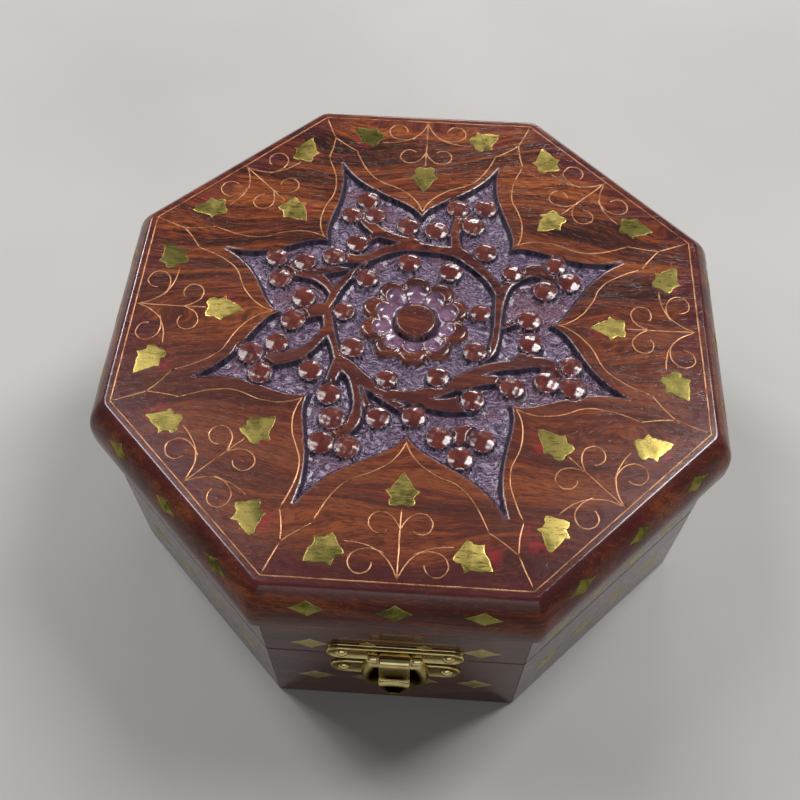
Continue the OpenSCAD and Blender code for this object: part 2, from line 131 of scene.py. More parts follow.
def set_attribute(mesh, name, values):
    values = np.asarray(values, float)
    kind = "FLOAT" if values.ndim == 1 else "FLOAT_VECTOR"
    attribute = mesh.attributes.new(name=name, type=kind, domain="POINT")
    attribute.data.foreach_set("value" if kind == "FLOAT" else "vector", values.ravel())


def board_grain(points):
    """Points in the wood's pattern, whose grain runs along X, from a place that no other board has."""
    return points[:, [0, 2, 1]] + RNG.uniform(-GRAIN_SHIFT, GRAIN_SHIFT, 3)


def new_object(name, data):
    obj = bpy.data.objects.new(name, data)
    bpy.context.scene.collection.objects.link(obj)
    return obj


def new_piece(name, mesh, material, body, node):
    """A mesh as an object on a body, in the place of a node and with a slot for its material."""
    mesh.materials.clear()
    mesh.materials.append(material)
    mesh.shade_smooth()
    obj = new_object(name, mesh)
    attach(obj, body)
    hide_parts(node)
    return obj


def piece(name, verts, faces, material, body, node, slot, grain=None):
    """A new piece from vertices in millimetres; its faces may be given either way round."""
    mesh = bpy.data.meshes.new(name)
    mesh.from_pydata((np.asarray(verts, float) * MM).tolist(), [], [list(map(int, f)) for f in faces])
    work = bmesh.new()
    work.from_mesh(mesh)
    bmesh.ops.recalc_face_normals(work, faces=work.faces)
    work.to_mesh(mesh)
    work.free()
    if grain is not None:
        set_attribute(mesh, "grain", grain)
    return new_piece(name, mesh, material, body, node)


def bevel(obj, width, segments):
    mod = obj.modifiers.new("bevel", "BEVEL")
    mod.width = width * MM
    mod.segments = segments
    mod.limit_method = "ANGLE"
    mod.angle_limit = math.radians(35)
    mod.harden_normals = True


class Parts:
    """Vertices and faces of several shapes gathered into one mesh."""

    def __init__(self):
        self.verts, self.faces = [], []
        self.count = 0

    def add(self, verts, faces):
        verts = np.asarray(verts, float)
        self.verts.append(verts)
        self.faces += [[i + self.count for i in f] for f in faces]
        self.count += len(verts)

    def make(self, name, material, body, node, slot):
        return piece(name, np.vstack(self.verts), self.faces, material, body, node, slot)


def skin(rings, closed=False):
    """Vertices of rings of equally many points, and faces from each ring to the next, a point being a ring
    of one; closed joins the last ring to the first."""
    verts = np.vstack(rings)
    rows = np.split(np.arange(len(verts)), np.cumsum([len(ring) for ring in rings])[:-1])
    n = max(len(row) for row in rows)
    faces = []
    for a, b in zip(rows, rows[1:] + rows[:1] if closed else rows[1:]):
        for i in range(n):
            j = (i + 1) % n
            quad = (a[i % len(a)], a[j % len(a)], b[j % len(b)], b[i % len(b)])
            faces.append(list(dict.fromkeys(quad)))
    return verts, faces


def solid(rings):
    """The rings' skin with a flat cap on each end that isn't a point."""
    verts, faces = skin(rings)
    if len(rings[-1]) > 1:
        faces.append(list(range(len(verts) - len(rings[-1]), len(verts))))
    if len(rings[0]) > 1:
        faces.append(list(range(len(rings[0])))[::-1])
    return verts, faces


# ---- Material helpers ----

def rgb(r, g, b):
    """An sRGB colour, 0 to 255, as the linear colour that nodes take."""
    linear = [(c / 12.92 if c <= 0.04045 else ((c + 0.055) / 1.055) ** 2.4)
              for c in (r / 255, g / 255, b / 255)]
    return (*linear, 1.0)


class Shader:
    """A material whose nodes are added by short calls; a value or a socket does for any input."""

    def __init__(self, name):
        self.material = bpy.data.materials.new(name)
        self.material.use_nodes = True
        self.tree = self.material.node_tree
        self.tree.nodes.clear()

    def node(self, kind, inputs=(), **settings):
        made = self.tree.nodes.new("ShaderNode" + kind)
        for key, value in settings.items():
            setattr(made, key, value)
        for key, value in dict(inputs).items():
            if isinstance(value, bpy.types.NodeSocket):
                self.tree.links.new(value, made.inputs[key])
            else:
                made.inputs[key].default_value = value
        return made

    def attribute(self, name, vector=False):
        return self.node("Attribute", attribute_name=name).outputs["Vector" if vector else "Fac"]

    def object_mm(self):
        place = self.node("TexCoord").outputs["Object"]
        return self.scaled(place, (1 / MM, 1 / MM, 1 / MM))

    def scaled(self, vector, scale, location=(0, 0, 0)):
        inputs = {"Vector": vector, "Scale": scale, "Location": location}
        return self.node("Mapping", inputs).outputs["Vector"]

    def noise(self, vector, scale, detail=4.0, roughness=0.55, distortion=0.0, colour=False):
        made = self.node("TexNoise", {"Vector": vector, "Scale": scale, "Detail": detail,
                                      "Roughness": roughness, "Distortion": distortion})
        return made.outputs["Color" if colour else "Fac"]

    def math(self, operation, a, b=0.0, clamp=False):
        made = self.node("Math", {0: a, 1: b}, operation=operation, use_clamp=clamp)
        return made.outputs["Value"]

    def times(self, a, b):
        return self.math("MULTIPLY", a, b)

    def vector_math(self, operation, a, b):
        return self.node("VectorMath", {0: a, 1: b}, operation=operation).outputs["Vector"]

    def fade(self, value, lo, hi, to_lo=0.0, to_hi=1.0):
        made = self.node("MapRange", {"Value": value, "From Min": lo, "From Max": hi,
                                      "To Min": to_lo, "To Max": to_hi},
                         interpolation_type="SMOOTHSTEP")
        return made.outputs["Result"]

    def mix(self, factor, a, b, blend="MIX"):
        made = self.node("Mix", {0: factor, 6: a, 7: b}, data_type="RGBA", blend_type=blend)
        return made.outputs[2]

    def ramp(self, factor, stops):
        made = self.node("ValToRGB", {"Fac": factor})
        elements = made.color_ramp.elements
        while len(elements) < len(stops):
            elements.new(0.5)
        for element, (at, colour) in zip(elements, stops):
            element.position = at
            element.color = colour
        return made.outputs["Color"]

    def bump(self, height, strength, distance_mm, normal=None):
        inputs = {"Height": height, "Strength": strength, "Distance": distance_mm * MM}
        if normal is not None:
            inputs["Normal"] = normal
        return self.node("Bump", inputs).outputs["Normal"]

    def finish(self, **inputs):
        """The Principled surface; names have underscores for spaces."""
        named = {k.replace("_", " "): v for k, v in inputs.items()}
        surface = self.node("BsdfPrincipled", named)
        out = self.node("OutputMaterial")
        self.tree.links.new(surface.outputs["BSDF"], out.inputs["Surface"])
        return self.material


# ---- Wood ----

DARK_STREAK = rgb(28, 13, 10)
RED_BROWN = rgb(76, 32, 19)
ORANGE_BROWN = rgb(113, 51, 23)
HONEY = rgb(154, 82, 36)
STAIN = rgb(72, 22, 30)


def sheesham(s, grain, contrast=1.0):
    """Streaked sheesham along the grain vector's X: its colour and a height for bumps."""
    drift = s.noise(s.scaled(grain, (0.012, 0.03, 0.03)), 1.0, 2.0, 0.5)
    bend = s.node("CombineXYZ", {"Y": s.fade(drift, 0.2, 0.8, -9.0, 9.0)}).outputs["Vector"]
    along = s.vector_math("ADD", grain, bend)
    bands = s.noise(s.scaled(along, (0.006, 0.085, 0.085)), 1.0, 6.0, 0.68, 0.5)
    streaks = s.noise(s.scaled(along, (0.022, 0.55, 0.55)), 1.0, 4.0, 0.62, 0.3)
    fibres = s.noise(s.scaled(along, (0.34, 3.2, 3.2)), 1.0, 3.0, 0.62, 0.5)
    pores = s.noise(s.scaled(along, (0.38, 3.0, 3.0), (17, 3, 9)), 1.0, 1.0, 0.4)
    tone = s.math("ADD", s.times(bands, 0.62), s.times(streaks, 0.38))
    spread = 0.13 / contrast
    colour = s.ramp(s.fade(tone, 0.5 - spread, 0.5 + spread),
                    [(0.0, DARK_STREAK), (0.3, RED_BROWN), (0.62, ORANGE_BROWN), (1.0, HONEY)])
    colour = s.mix(s.fade(fibres, 0.47, 0.6, 0.0, 0.62), colour, rgb(46, 19, 14))
    colour = s.mix(s.fade(fibres, 0.46, 0.34, 0.0, 0.35), colour, rgb(170, 92, 50))
    pore = s.fade(pores, 0.60, 0.67)
    colour = s.mix(s.times(pore, 0.6), colour, rgb(32, 13, 10))
    height = s.math("SUBTRACT", s.times(fibres, 0.5), s.times(pore, 0.5))
    return colour, height


def stained_wood(s, grain, soft, patchy):
    """The top's wood with its stains, buds and purple scoops: its colour, and a height for bumps."""
    wood, height = sheesham(s, grain, 1.2)
    # the board is darkened towards its front, painted shade for the sheen that lights its rear, so the rear
    # looks paler and more streaked; and the stain gathers towards the rim
    front = s.fade(s.node("SeparateXYZ", {"Vector": grain}).outputs["Y"], 45.0, -30.0)
    wood = s.mix(s.times(front, 0.5), wood, rgb(86, 45, 38))
    rim = s.math("ADD", s.attribute("rim"), s.fade(soft, 0.3, 0.7, -0.35, 0.35))
    wood = s.mix(s.fade(rim, 0.35, 1.1, 0.0, 0.62), wood, STAIN)
    # the stain that the carver's dye left beside the cuts and under the leaves' filler
    dye = s.times(s.attribute("filler"), s.fade(patchy, 0.38, 0.6))
    wood = s.mix(s.times(dye, 0.75), wood, rgb(138, 38, 42))
    wood = s.mix(s.times(s.attribute("raised"), 0.3), wood, rgb(74, 30, 36))
    bud = s.mix(s.fade(patchy, 0.3, 0.7), rgb(72, 26, 28), rgb(106, 46, 36))
    wood = s.mix(s.times(s.attribute("berry"), 0.85), wood, bud)
    violet = s.mix(s.fade(patchy, 0.3, 0.7), rgb(84, 52, 76), rgb(128, 96, 118))
    return s.mix(s.attribute("polished"), wood, violet), height


def matting(s, grain):
    """Short chisel ticks, in patches that turn this way and that: their pattern, and its crumbs alone."""
    flat = s.scaled(grain, (1, 1, 0))
    swirl = s.noise(flat, 0.13, 2.0, 0.5, colour=True)
    bent = s.vector_math("ADD", flat, s.vector_math("MULTIPLY", swirl, (9.0, 9.0, 0.0)))
    ticks = s.noise(s.scaled(bent, (0.75, 1.9, 1.0)), 1.0, 2.0, 0.5, 0.6)
    crumbs = s.noise(flat, 2.4, 3.0, 0.65)
    return s.math("ADD", s.times(ticks, 0.7), s.times(crumbs, 0.3)), crumbs


def top_wood():
    """The carved top: polished wood, purple-stained ground where it is cut, and red filler round leaves."""
    s = Shader("carved_top_wood")
    grain = s.attribute("grain", vector=True)
    cut, deep, edge = s.attribute("cut"), s.attribute("deep"), s.attribute("edge")
    soft = s.noise(grain, 0.09, 4.0, 0.6)
    wood, height = stained_wood(s, grain, soft, s.noise(grain, 0.35, 3.0, 0.6))
    matted, crumbs = matting(s, grain)
    ground = s.ramp(s.fade(matted, 0.34, 0.66),
                    [(0.0, rgb(34, 20, 40)), (0.45, rgb(84, 62, 90)), (1.0, rgb(156, 132, 158))])
    ground = s.mix(s.fade(soft, 0.5, 0.66, 0.0, 0.5), ground, rgb(106, 56, 66))
    # painted shade: the cut walls, the rings round the buds and the boss's groove are darkened where shadow
    # falls, and made matt
    ground = s.mix(deep, ground, rgb(34, 18, 42))
    floor_only = s.times(matted, s.math("SUBTRACT", cut, deep, clamp=True))
    gloss = s.fade(s.noise(grain, 0.9, 4.0, 0.6), 0.2, 0.8, 0.13, 0.25)
    roughness = s.mix(cut, gloss, s.fade(crumbs, 0.3, 0.7, 0.17, 0.34))
    matt = s.math("MAXIMUM", edge, s.fade(deep, 0.0, 0.6))
    return s.finish(Base_Color=s.mix(cut, wood, ground), IOR=1.5, Coat_Roughness=0.1,
                    Roughness=s.mix(deep, roughness, (0.75, 0.75, 0.75, 1.0)),
                    Normal=s.bump(floor_only, 1.0, 0.9, s.bump(height, 0.5, 0.05)),
                    Specular_IOR_Level=s.fade(edge, 0.0, 1.0, 0.5, 0.22),
                    Coat_Weight=s.fade(matt, 0.0, 1.0, 0.4, 0.0))


def wall_wood():
    s = Shader("varnished_board")
    grain = s.attribute("grain", vector=True)
    wood, height = sheesham(s, grain)
    wood = s.mix(0.6, wood, rgb(36, 17, 19))
    wear = s.noise(grain, 0.5, 4.0, 0.6)
    return s.finish(Base_Color=wood, Roughness=s.fade(wear, 0.25, 0.75, 0.16, 0.28),
                    Normal=s.bump(height, 0.25, 0.03), IOR=1.4, Coat_Weight=0.25, Coat_Roughness=0.05)


def floor_wood():
    s = Shader("floor_board")
    wood, height = sheesham(s, s.object_mm())
    wood = s.mix(0.3, wood, rgb(120, 82, 56))
    return s.finish(Base_Color=wood, Roughness=0.55, Normal=s.bump(height, 0.5, 0.06), IOR=1.45)


# ---- Metal and velvet ----

def metal(name, bright, dull, scratch_scale, roughness, bump_mm, tarnish=0.35, stretch=(1, 1, 1)):
    """Worn metal, darker where its mesh has a "tone", and with a painted dark reflection in its colour and
    specular tint where it has a "hollow".
    """
    s = Shader(name)
    place = s.object_mm()
    patches = s.noise(place, 0.22, 4.0, 0.6)
    marks = s.noise(s.scaled(place, stretch), scratch_scale, 3.0, 0.7)
    fine = s.noise(s.scaled(place, tuple(4 * k for k in stretch)), scratch_scale, 2.0, 0.6)
    colour = s.mix(s.fade(patches, 0.42, 0.68, 0.0, tarnish), bright, dull)
    colour = s.mix(s.fade(marks, 0.56, 0.72, 0.0, 0.4), colour, dull)
    colour = s.mix(s.attribute("tone"), colour, rgb(70, 70, 36))
    # painted reflection: the hollow attribute darkens the colour and the specular tint, for the dark room
    # that the hollows reflect
    hollow = s.attribute("hollow")
    colour = s.mix(hollow, colour, rgb(60, 46, 18))
    tint = s.mix(hollow, rgb(238, 226, 194), rgb(110, 88, 44))
    height = s.math("ADD", marks, s.times(fine, 0.4))
    return s.finish(Base_Color=colour, Metallic=1.0, Specular_Tint=tint,
                    Roughness=s.fade(marks, 0.3, 0.7, roughness * 0.75, roughness * 1.35),
                    Normal=s.bump(height, 0.6, bump_mm))


def velvet_cloth():
    s = Shader("red_velvet")
    place = s.object_mm()
    nap = s.noise(place, 2.6, 4.0, 0.7)
    brushed = s.noise(s.scaled(place, (0.05, 0.09, 0.07)), 1.0, 3.0, 0.5)
    colour = s.mix(s.fade(brushed, 0.35, 0.65), rgb(92, 8, 18), rgb(138, 20, 32))
    colour = s.mix(s.fade(nap, 0.45, 0.75, 0.0, 0.4), colour, rgb(52, 4, 10))
    return s.finish(Base_Color=colour, Roughness=0.95, Normal=s.bump(nap, 0.7, 0.25), Sheen_Weight=0.8,
                    Sheen_Roughness=0.4, Sheen_Tint=rgb(220, 120, 130))


TOP_WOOD = top_wood()
WALL_WOOD = wall_wood()
FLOOR_WOOD = floor_wood()
VELVET = velvet_cloth()
LEAF_BRASS = metal("leaf_brass", rgb(192, 170, 96), rgb(104, 96, 46), 0.9, 0.34, 0.06, 0.8, (0.4, 2.2, 1))
DIAMOND_BRASS = metal("diamond_brass", rgb(200, 188, 140), rgb(128, 120, 80), 0.8, 0.36, 0.04)
EDGE_BRASS = metal("edge_diamond_brass", rgb(150, 142, 74), rgb(62, 68, 32), 0.5, 0.3, 0.05, 0.9)
WIRE_COPPER = metal("wire_copper", rgb(192, 140, 102), rgb(128, 80, 54), 0.5, 0.4, 0.02, 0.85)
CLASP_BRASS = metal("clasp_brass", rgb(224, 206, 146), rgb(132, 112, 62), 0.5, 0.11, 0.006, 0.4)
HINGE_BRASS = metal("hinge_brass", rgb(206, 180, 108), rgb(142, 116, 62), 0.6, 0.22, 0.004, 0.35)


# ---- The carving: a plan of strands, buds and a flower, in millimetres from the middle ----

FAR = 1e9
CARVING_DEPTH = 1.9
# the cut walls lean outwards by this much
WALL_W = 0.5
STAR_VALLEY_R = 33.0
STAR_TIPS = [(51.6, 21.0), (20.0, 52.2), (-22.6, 51.6), (-49.6, 19.4), (-51.6, -20.6), (-23.6, -52.0),
             (22.8, -52.6), (51.2, -20.2)]

# strands of the original surface, each a row of (x, y, half width)
STRANDS = [
    # the ring, from the right round to the front
    [(16.6, -11.6, 0.3), (18.6, -8.8, 1.0), (19.7, -4.5, 0.95), (20.1, 0, 0.95), (20.4, 5, 1.15),
     (20.9, 8.8, 1.5)],
    [(20.9, 8.8, 1.5), (18.8, 12.5, 1.3), (16, 16, 1.3), (13, 19, 1.6), (10, 21.5, 1.8), (5, 22.4, 1.3),
     (0, 22.8, 1.5), (-4, 22.8, 1.5)],
    [(-4, 22.8, 1.5), (-8.5, 21.2, 1.3), (-12.5, 18.6, 1.2), (-16.5, 17.9, 1.5), (-20, 18.5, 2.0)],
    [(-13.2, 16.6, 0.5), (-15.8, 13.8, 0.9), (-18.6, 10, 1.1), (-20.6, 5.5, 1.1), (-21.3, 0.5, 1.2),
     (-20.5, -4.5, 1.3)],
    [(-20.5, -4.5, 1.3), (-18.8, -9, 1.0), (-17.3, -12.5, 1.4), (-15, -15.3, 2.0), (-11.5, -18.5, 1.9),
     (-7, -21, 1.6), (-3, -22.4, 1.5), (2, -22, 1.6)],
    [(2, -22, 1.6), (6, -20.8, 1.7), (10, -18.6, 1.7), (14, -16, 1.8), (17.5, -13.8, 1.5), (21, -12.6, 1.4),
     (25, -11.9, 1.5), (30, -10.9, 1.6), (34.2, -13.2, 2.6)],
    # branches and leaves to the buds of each petal
    [(11, -19.3, 1.2), (15, -17.6, 1.3), (19, -16.6, 1.3), (21.5, -17, 1.2)],
    [(-1, -22.8, 1.2), (4, -24, 1.5), (9, -24.3, 1.9), (13.5, -23.4, 2.5)],
    [(23.5, -11.5, 0.8), (26.5, -9.5, 1.3), (29.3, -7.2, 1.3)],
    [(20.9, 8.8, 1.4), (22.6, 12, 1.2), (25.5, 15.2, 1.6), (29, 17, 2.0), (33, 16.4, 2.6)],
    [(21.5, -1.5, 0.3), (24, 0.2, 0.7), (26, 1, 1.0)],
    [(10, 21.5, 1.5), (9, 25, 1.2), (9, 29, 1.3), (11, 33.8, 2.2)],
    [(13, 18.8, 1.0), (15.5, 19.8, 0.9), (16.5, 21, 1.0)],
    [(8.6, 27.5, 0.7), (6, 28.5, 1.0)],
    [(-1, 24.2, 1.3), (-6, 25.5, 1.3), (-11, 27.5, 1.6), (-14, 31, 1.9), (-15, 34.6, 2.1)],
    [(-2, 25.2, 0.8), (-2.6, 28, 1.0)],
    [(-11, 26.4, 0.9), (-14, 24.6, 1.0)],
    [(-20.4, 6, 0.8), (-22.4, 9.2, 1.2), (-25.5, 11.8, 1.6), (-29, 12.8, 1.8), (-32.2, 13.8, 2.3)],
    [(-17.5, 14.6, 0.4), (-20.5, 14.2, 1.0), (-24.5, 13.2, 1.2)],
    [(-21.3, 2.2, 1.2), (-24.5, 1.7, 1.6), (-27.5, 2.6, 1.6)],
    [(-21.5, 0.5, 1.2), (-25, 0.5, 1.6), (-28, -0.6, 1.8)],
    [(-20.7, -4, 1.3), (-23, -8, 1.2), (-26, -11.5, 1.5), (-30, -13.3, 1.8), (-34, -13.6, 2.5)],
    [(-26, -12.5, 0.8), (-24.8, -14.5, 0.8)],
    [(-17.2, -14, 1.6), (-18.2, -17.5, 1.4), (-18.9, -20.5, 1.3)],
    [(-14, -17, 1.2), (-12.6, -21.5, 1.1), (-11.8, -26, 1.2), (-12.4, -30, 1.6), (-15.6, -32.6, 2.4)],
    [(-10.8, -21.3, 0.3), (-9.9, -25, 0.9), (-8, -27, 1.2)],
    [(-8, -22.6, 0.3), (-4, -24.4, 0.9), (-0.5, -26.2, 1.2)],
    [(11.6, -32.2, 2.3), (13.4, -31.6, 2.3)],
]

# round buds, each (x, y, radius): the ring's own, then petal by petal from the right
BUDS = [
    (8.2, 15.4, 2.8), (-2.4, 17.8, 2.8), (-12.6, 12.1, 2.7), (-17.4, 1.5, 2.6), (-14.4, -9.3, 2.8),
    (-5.6, -17.8, 2.5), (6.3, -16.5, 2.6), (14.8, -8.6, 2.7), (15.9, 3.0, 2.4),
    (23.6, 16.0, 2.4), (34.6, 19.2, 2.6), (37.8, 14.0, 2.8), (31.8, 11.0, 2.9), (27.8, 1.6, 2.7),
    (16.8, 22.4, 2.8), (9.3, 37.0, 2.8), (16.6, 37.6, 2.9), (13.6, 31.0, 2.8), (4.0, 29.0, 2.9),
    (-3.4, 30.0, 2.8), (-14.4, 38.6, 2.8), (-18.3, 33.2, 2.6), (-12.0, 33.4, 2.5), (-16.0, 23.5, 2.7),
    (-21.6, 18.7, 2.7), (-36.0, 17.4, 2.7), (-28.7, 16.5, 2.7), (-34.3, 10.8, 2.8), (-27.7, 5.0, 2.8),
    (-29.6, -1.9, 2.9), (-32.6, -9.0, 2.7), (-38.5, -12.3, 2.9), (-35.4, -17.9, 2.8), (-23.7, -16.4, 2.8),
    (-18.8, -22.8, 2.7), (-17.4, -29.2, 2.9), (-19.3, -35.8, 2.8), (-13.2, -36.6, 2.8), (-6.9, -28.5, 2.7),
    (1.3, -27.8, 2.7), (14.6, -22.3, 2.7), (7.2, -32.8, 2.8), (17.1, -33.1, 2.8), (12.2, -37.8, 2.8),
    (23.6, -18.4, 2.8), (28.0, -5.6, 2.6), (37.5, -11.4, 2.6), (31.7, -16.3, 2.8), (37.8, -17.4, 2.9),
]
BUD_SWELL = 1.07
BUD_GROOVE = 1.5
BOSS_AT = (0.3, -0.4)
BOSS_R = 4.8
BOSS_GROOVE = 1.95
BOSS_WALL_W = 0.35
FLOWER_PETALS = 10
FLOWER_R = 10.1
FLOWER_LOBE_R = 3.25
FLOWER_WALL_W = 0.45


def star_outline():
    """Eight ogee petals, each bent to its own tip."""
    points = []
    for k, tip in enumerate(STAR_TIPS):
        axis = 22.5 + 45 * k
        own_tip = turned(tip, -axis)
        lean = own_tip - (55, 0)
        up, down = (bezier([turned((STAR_VALLEY_R, 0), side * 22.5), (38, side * 12) + lean * 0.2,
                            (41, side * 1.6) + lean * 0.8, own_tip], 14) for side in (-1, 1))
        points.append(turned(np.vstack([up[:-1], down[:0:-1]]), axis))
    return np.vstack(points)


def from_segment(x, y, x0, y0, x1, y1):
    """Distance to a segment, and the share of it at its nearest point."""
    dx, dy = x1 - x0, y1 - y0
    t = np.clip(((x - x0) * dx + (y - y0) * dy) / (dx * dx + dy * dy), 0, 1)
    return np.hypot(x - x0 - t * dx, y - y0 - t * dy), t


def distance_to_outline(x, y, outline):
    """Distance to a closed outline, negative inside."""
    near = np.full(x.shape, FAR)
    inside = np.zeros(x.shape, bool)
    for (x0, y0), (x1, y1) in zip(outline, np.roll(outline, -1, axis=0)):
        near = np.minimum(near, from_segment(x, y, x0, y0, x1, y1)[0])
        if y0 != y1:
            crosses = (y0 > y) != (y1 > y)
            inside ^= crosses & (x < x0 + (y - y0) * (x1 - x0) / (y1 - y0))
    return np.where(inside, -near, near)


def distance_to_strand(x, y, path):
    """Distance to a strand of changing width, negative inside."""
    near = np.full(x.shape, FAR)
    for (x0, y0, r0), (x1, y1, r1) in zip(path, path[1:]):
        distance, t = from_segment(x, y, x0, y0, x1, y1)
        near = np.minimum(near, distance - r0 - t * (r1 - r0))
    return near


def within(values, x, y, box, margin, function):
    """Lowers values by function inside a box with a margin, and leaves them elsewhere."""
    lo, hi = np.min(box, axis=0), np.max(box, axis=0)
    near = ((x > lo[0] - margin) & (x < hi[0] + margin) & (y > lo[1] - margin) & (y < hi[1] + margin))
    values[near] = np.minimum(values[near], function(x[near], y[near]))


def high_distance(x, y):
    """Distance to what keeps the original surface: outside the star, or on a strand."""
    high = np.maximum(-distance_to_outline(x, y, star_outline()), -6.0)
    for strand in STRANDS:
        path = smooth_path(strand, 5)
        within(high, x, y, path[:, :2], 4.0, lambda u, v: distance_to_strand(u, v, path))
    return high


def bud_distance(x, y):
    """Distance to the nearest bud's rim, negative inside, and that bud's radius."""
    near = np.full(x.shape, FAR)
    radius = np.ones(x.shape)
    for bx, by, r in BUDS:
        d = np.hypot(x - bx, y - by) - r * BUD_SWELL
        closer = d < near
        near = np.where(closer, d, near)
        radius = np.where(closer, r * BUD_SWELL, radius)
    return near, radius


def flower_height(x, y):
    """The flower's surface, and where it has been scooped, as two fields; far below outside it."""
    height = np.full(x.shape, -FAR)
    scooped = np.zeros(x.shape)
    half_petal = math.pi / FLOWER_PETALS
    for i in range(FLOWER_PETALS):
        angle = half_petal * (1 + 2 * i)
        u = x * math.cos(angle) + y * math.sin(angle)
        v = -x * math.sin(angle) + y * math.cos(angle)
        lobe_r = FLOWER_LOBE_R * (1 + 0.05 * math.sin(3.1 * i))
        lobe = np.hypot(u - FLOWER_R, v) - lobe_r
        wedge = np.maximum(np.abs(v) - u * math.tan(half_petal), u - FLOWER_R)
        body = np.minimum(lobe, np.where(u > 0, wedge, FAR))
        scoop_end = 8.0 + 0.4 * math.cos(2.3 * i)
        half = 0.75 + 0.2 * np.clip(u, 0, scoop_end)
        scoop = np.where(u > scoop_end, np.hypot(u - scoop_end, v) - half, np.abs(v) - half)
        hollow = np.clip(-scoop / 1.6, 0, 1)
        depth = np.where(scoop < 0, 0.1 + 0.75 * hollow * (2 - hollow) + 0.07 * (12.0 - u), 0.0)
        wall = smoothstep(0.0, FLOWER_WALL_W, body)
        rim = -0.18 - 0.4 * smoothstep(-1.2, 0.0, body) ** 2
        ridge = np.where(scoop < 0, 0.0, 0.07 * np.clip(10.5 - u, 0, 6))
        surface = np.where(body < FLOWER_WALL_W, rim - depth - ridge - wall * 1.7, -FAR)
        better = surface > height
        height = np.where(better, surface, height)
        scooped = np.where(better, smoothstep(0.25, -0.25, scoop), scooped)
    return height, scooped


def boss_distance(x, y):
    """Distance to the rim of the flower's boss, negative inside."""
    return np.hypot(x - BOSS_AT[0], y - BOSS_AT[1]) - BOSS_R


def put(fields, where, **values):
    """Sets fields where a mask is true, and leaves them elsewhere."""
    for name, value in values.items():
        fields[name] = np.where(where, value, fields[name])


def strand_fields(x, y, high):
    """The strands, the walls and the ground: height below the flat top, and masks of kinds of surface."""
    wave = 0.10 * np.sin(0.9 * x + 1.3 * y) + 0.08 * np.sin(1.7 * x - 0.8 * y + 2)
    ground = -CARVING_DEPTH + wave + 0.5 * smoothstep(2.2, 0.5, high)
    height = np.where(high < 0, -0.2 * smoothstep(-0.6, 0.0, high), -0.2)
    none = np.zeros(x.shape)
    # the last mask is painted shade, which darkens the walls that fall from the high edges to the ground
    return {"height": height + (ground - height) * np.clip(high / WALL_W, 0, 1),
            "cut": smoothstep(-0.16, -0.03, high), "berry": none,
            "deep": smoothstep(-0.12, 0.0, high) * smoothstep(0.72, 0.5, high), "polished": none}


def carve_buds(f, x, y, inside_star):
    bud, bud_r = bud_distance(x, y)
    # a groove parts each bud from the leaf it grows on
    groove = -BUD_GROOVE + BUD_GROOVE * smoothstep(0.2, 0.75, bud)
    put(f, (bud > 0) & inside_star, height=np.minimum(f["height"], groove))
    # a ring of painted shade round each bud
    put(f, inside_star, cut=np.maximum(f["cut"], smoothstep(0.5, 0.15, bud)),
        deep=np.maximum(f["deep"], smoothstep(0.5, 0.2, bud)))
    # a bud is a low dome, cut flatter on the carver's side, with a crisp rim
    share = np.clip(1 + bud / bud_r, 0, 1)
    facets = np.sin(1.7 * x + 0.6 * y) * np.cos(0.9 * x - 1.6 * y)
    dome = -0.05 - 0.55 * share ** 1.9 - 0.35 * facets * share * (1 - share)
    f["height"] = np.maximum(f["height"], -0.6 - 1.3 * bud / WALL_W)
    put(f, bud < 0.02, height=dome, cut=smoothstep(-0.12, 0.02, bud))
    put(f, bud < 0, deep=0.0)
    f["berry"] = smoothstep(0.0, -0.15, bud)


def carve_flower(f, x, y):
    """The flower in the middle, then its boss in a deep round groove."""
    flower, scooped = flower_height(x, y)
    put(f, flower > f["height"], height=flower, cut=smoothstep(-1.0, -1.7, flower) * (1 - scooped), deep=0.0,
        polished=scooped)
    boss = boss_distance(x, y)
    put(f, boss < 1.6, height=np.minimum(f["height"], -BOSS_GROOVE + 0.8 * smoothstep(0.5, 1.6, boss)))
    # painted shade in the boss's groove
    put(f, (boss > 0) & (boss < 0.9), cut=1.0, deep=1.0)
    put(f, boss < 0.8, polished=0.0)
    top = -0.05 - 0.18 * smoothstep(-0.5, 0.0, boss) - 1.7 * smoothstep(0.0, BOSS_WALL_W, boss)
    put(f, boss < BOSS_WALL_W, height=np.maximum(top, -BOSS_GROOVE))
    put(f, boss < 0.2, cut=smoothstep(-0.05, 0.15, boss))
    put(f, boss < 2.0, berry=0.0)


def carving(x, y):
    """Height below the flat top, and masks of the kinds of surface."""
    high = high_distance(x, y)
    f = strand_fields(x, y, high)
    carve_buds(f, x, y, high > -5.0)
    carve_flower(f, x, y)
    f["raised"] = smoothstep(-0.5, -1.5, distance_to_outline(x, y, star_outline())) * (1 - f["cut"])
    return f.pop("height"), f


def edge_field(x, y):
    """The nearest outline that the mesh should follow: a high edge, a bud's rim or the boss."""
    high = high_distance(x, y)
    bud, _ = bud_distance(x, y)
    boss = boss_distance(x, y)
    return np.where(np.abs(boss) < 1.5, boss, np.where(np.abs(bud) < np.abs(high), bud, high))


# ---- Top panel ----

EDGE_SETBACK = 5.0
EDGE_DROP = 9.6
EDGE_R = (EDGE_SETBACK ** 2 + EDGE_DROP ** 2) / (2 * EDGE_SETBACK)
UNDER_R = 1.1
CORNER_R = 3.4
FINE_STEP = 0.37
FINE_A = 54.0
COARSE_STEP = 1.3
# where in the wood's pattern the board lies
TOP_GRAIN_AT = (0, 0, 31)


def octagon_corners(apothem):
    return [turned((apothem / math.cos(math.radians(22.5)), 0), 22.5 + 45 * k) for k in range(8)]


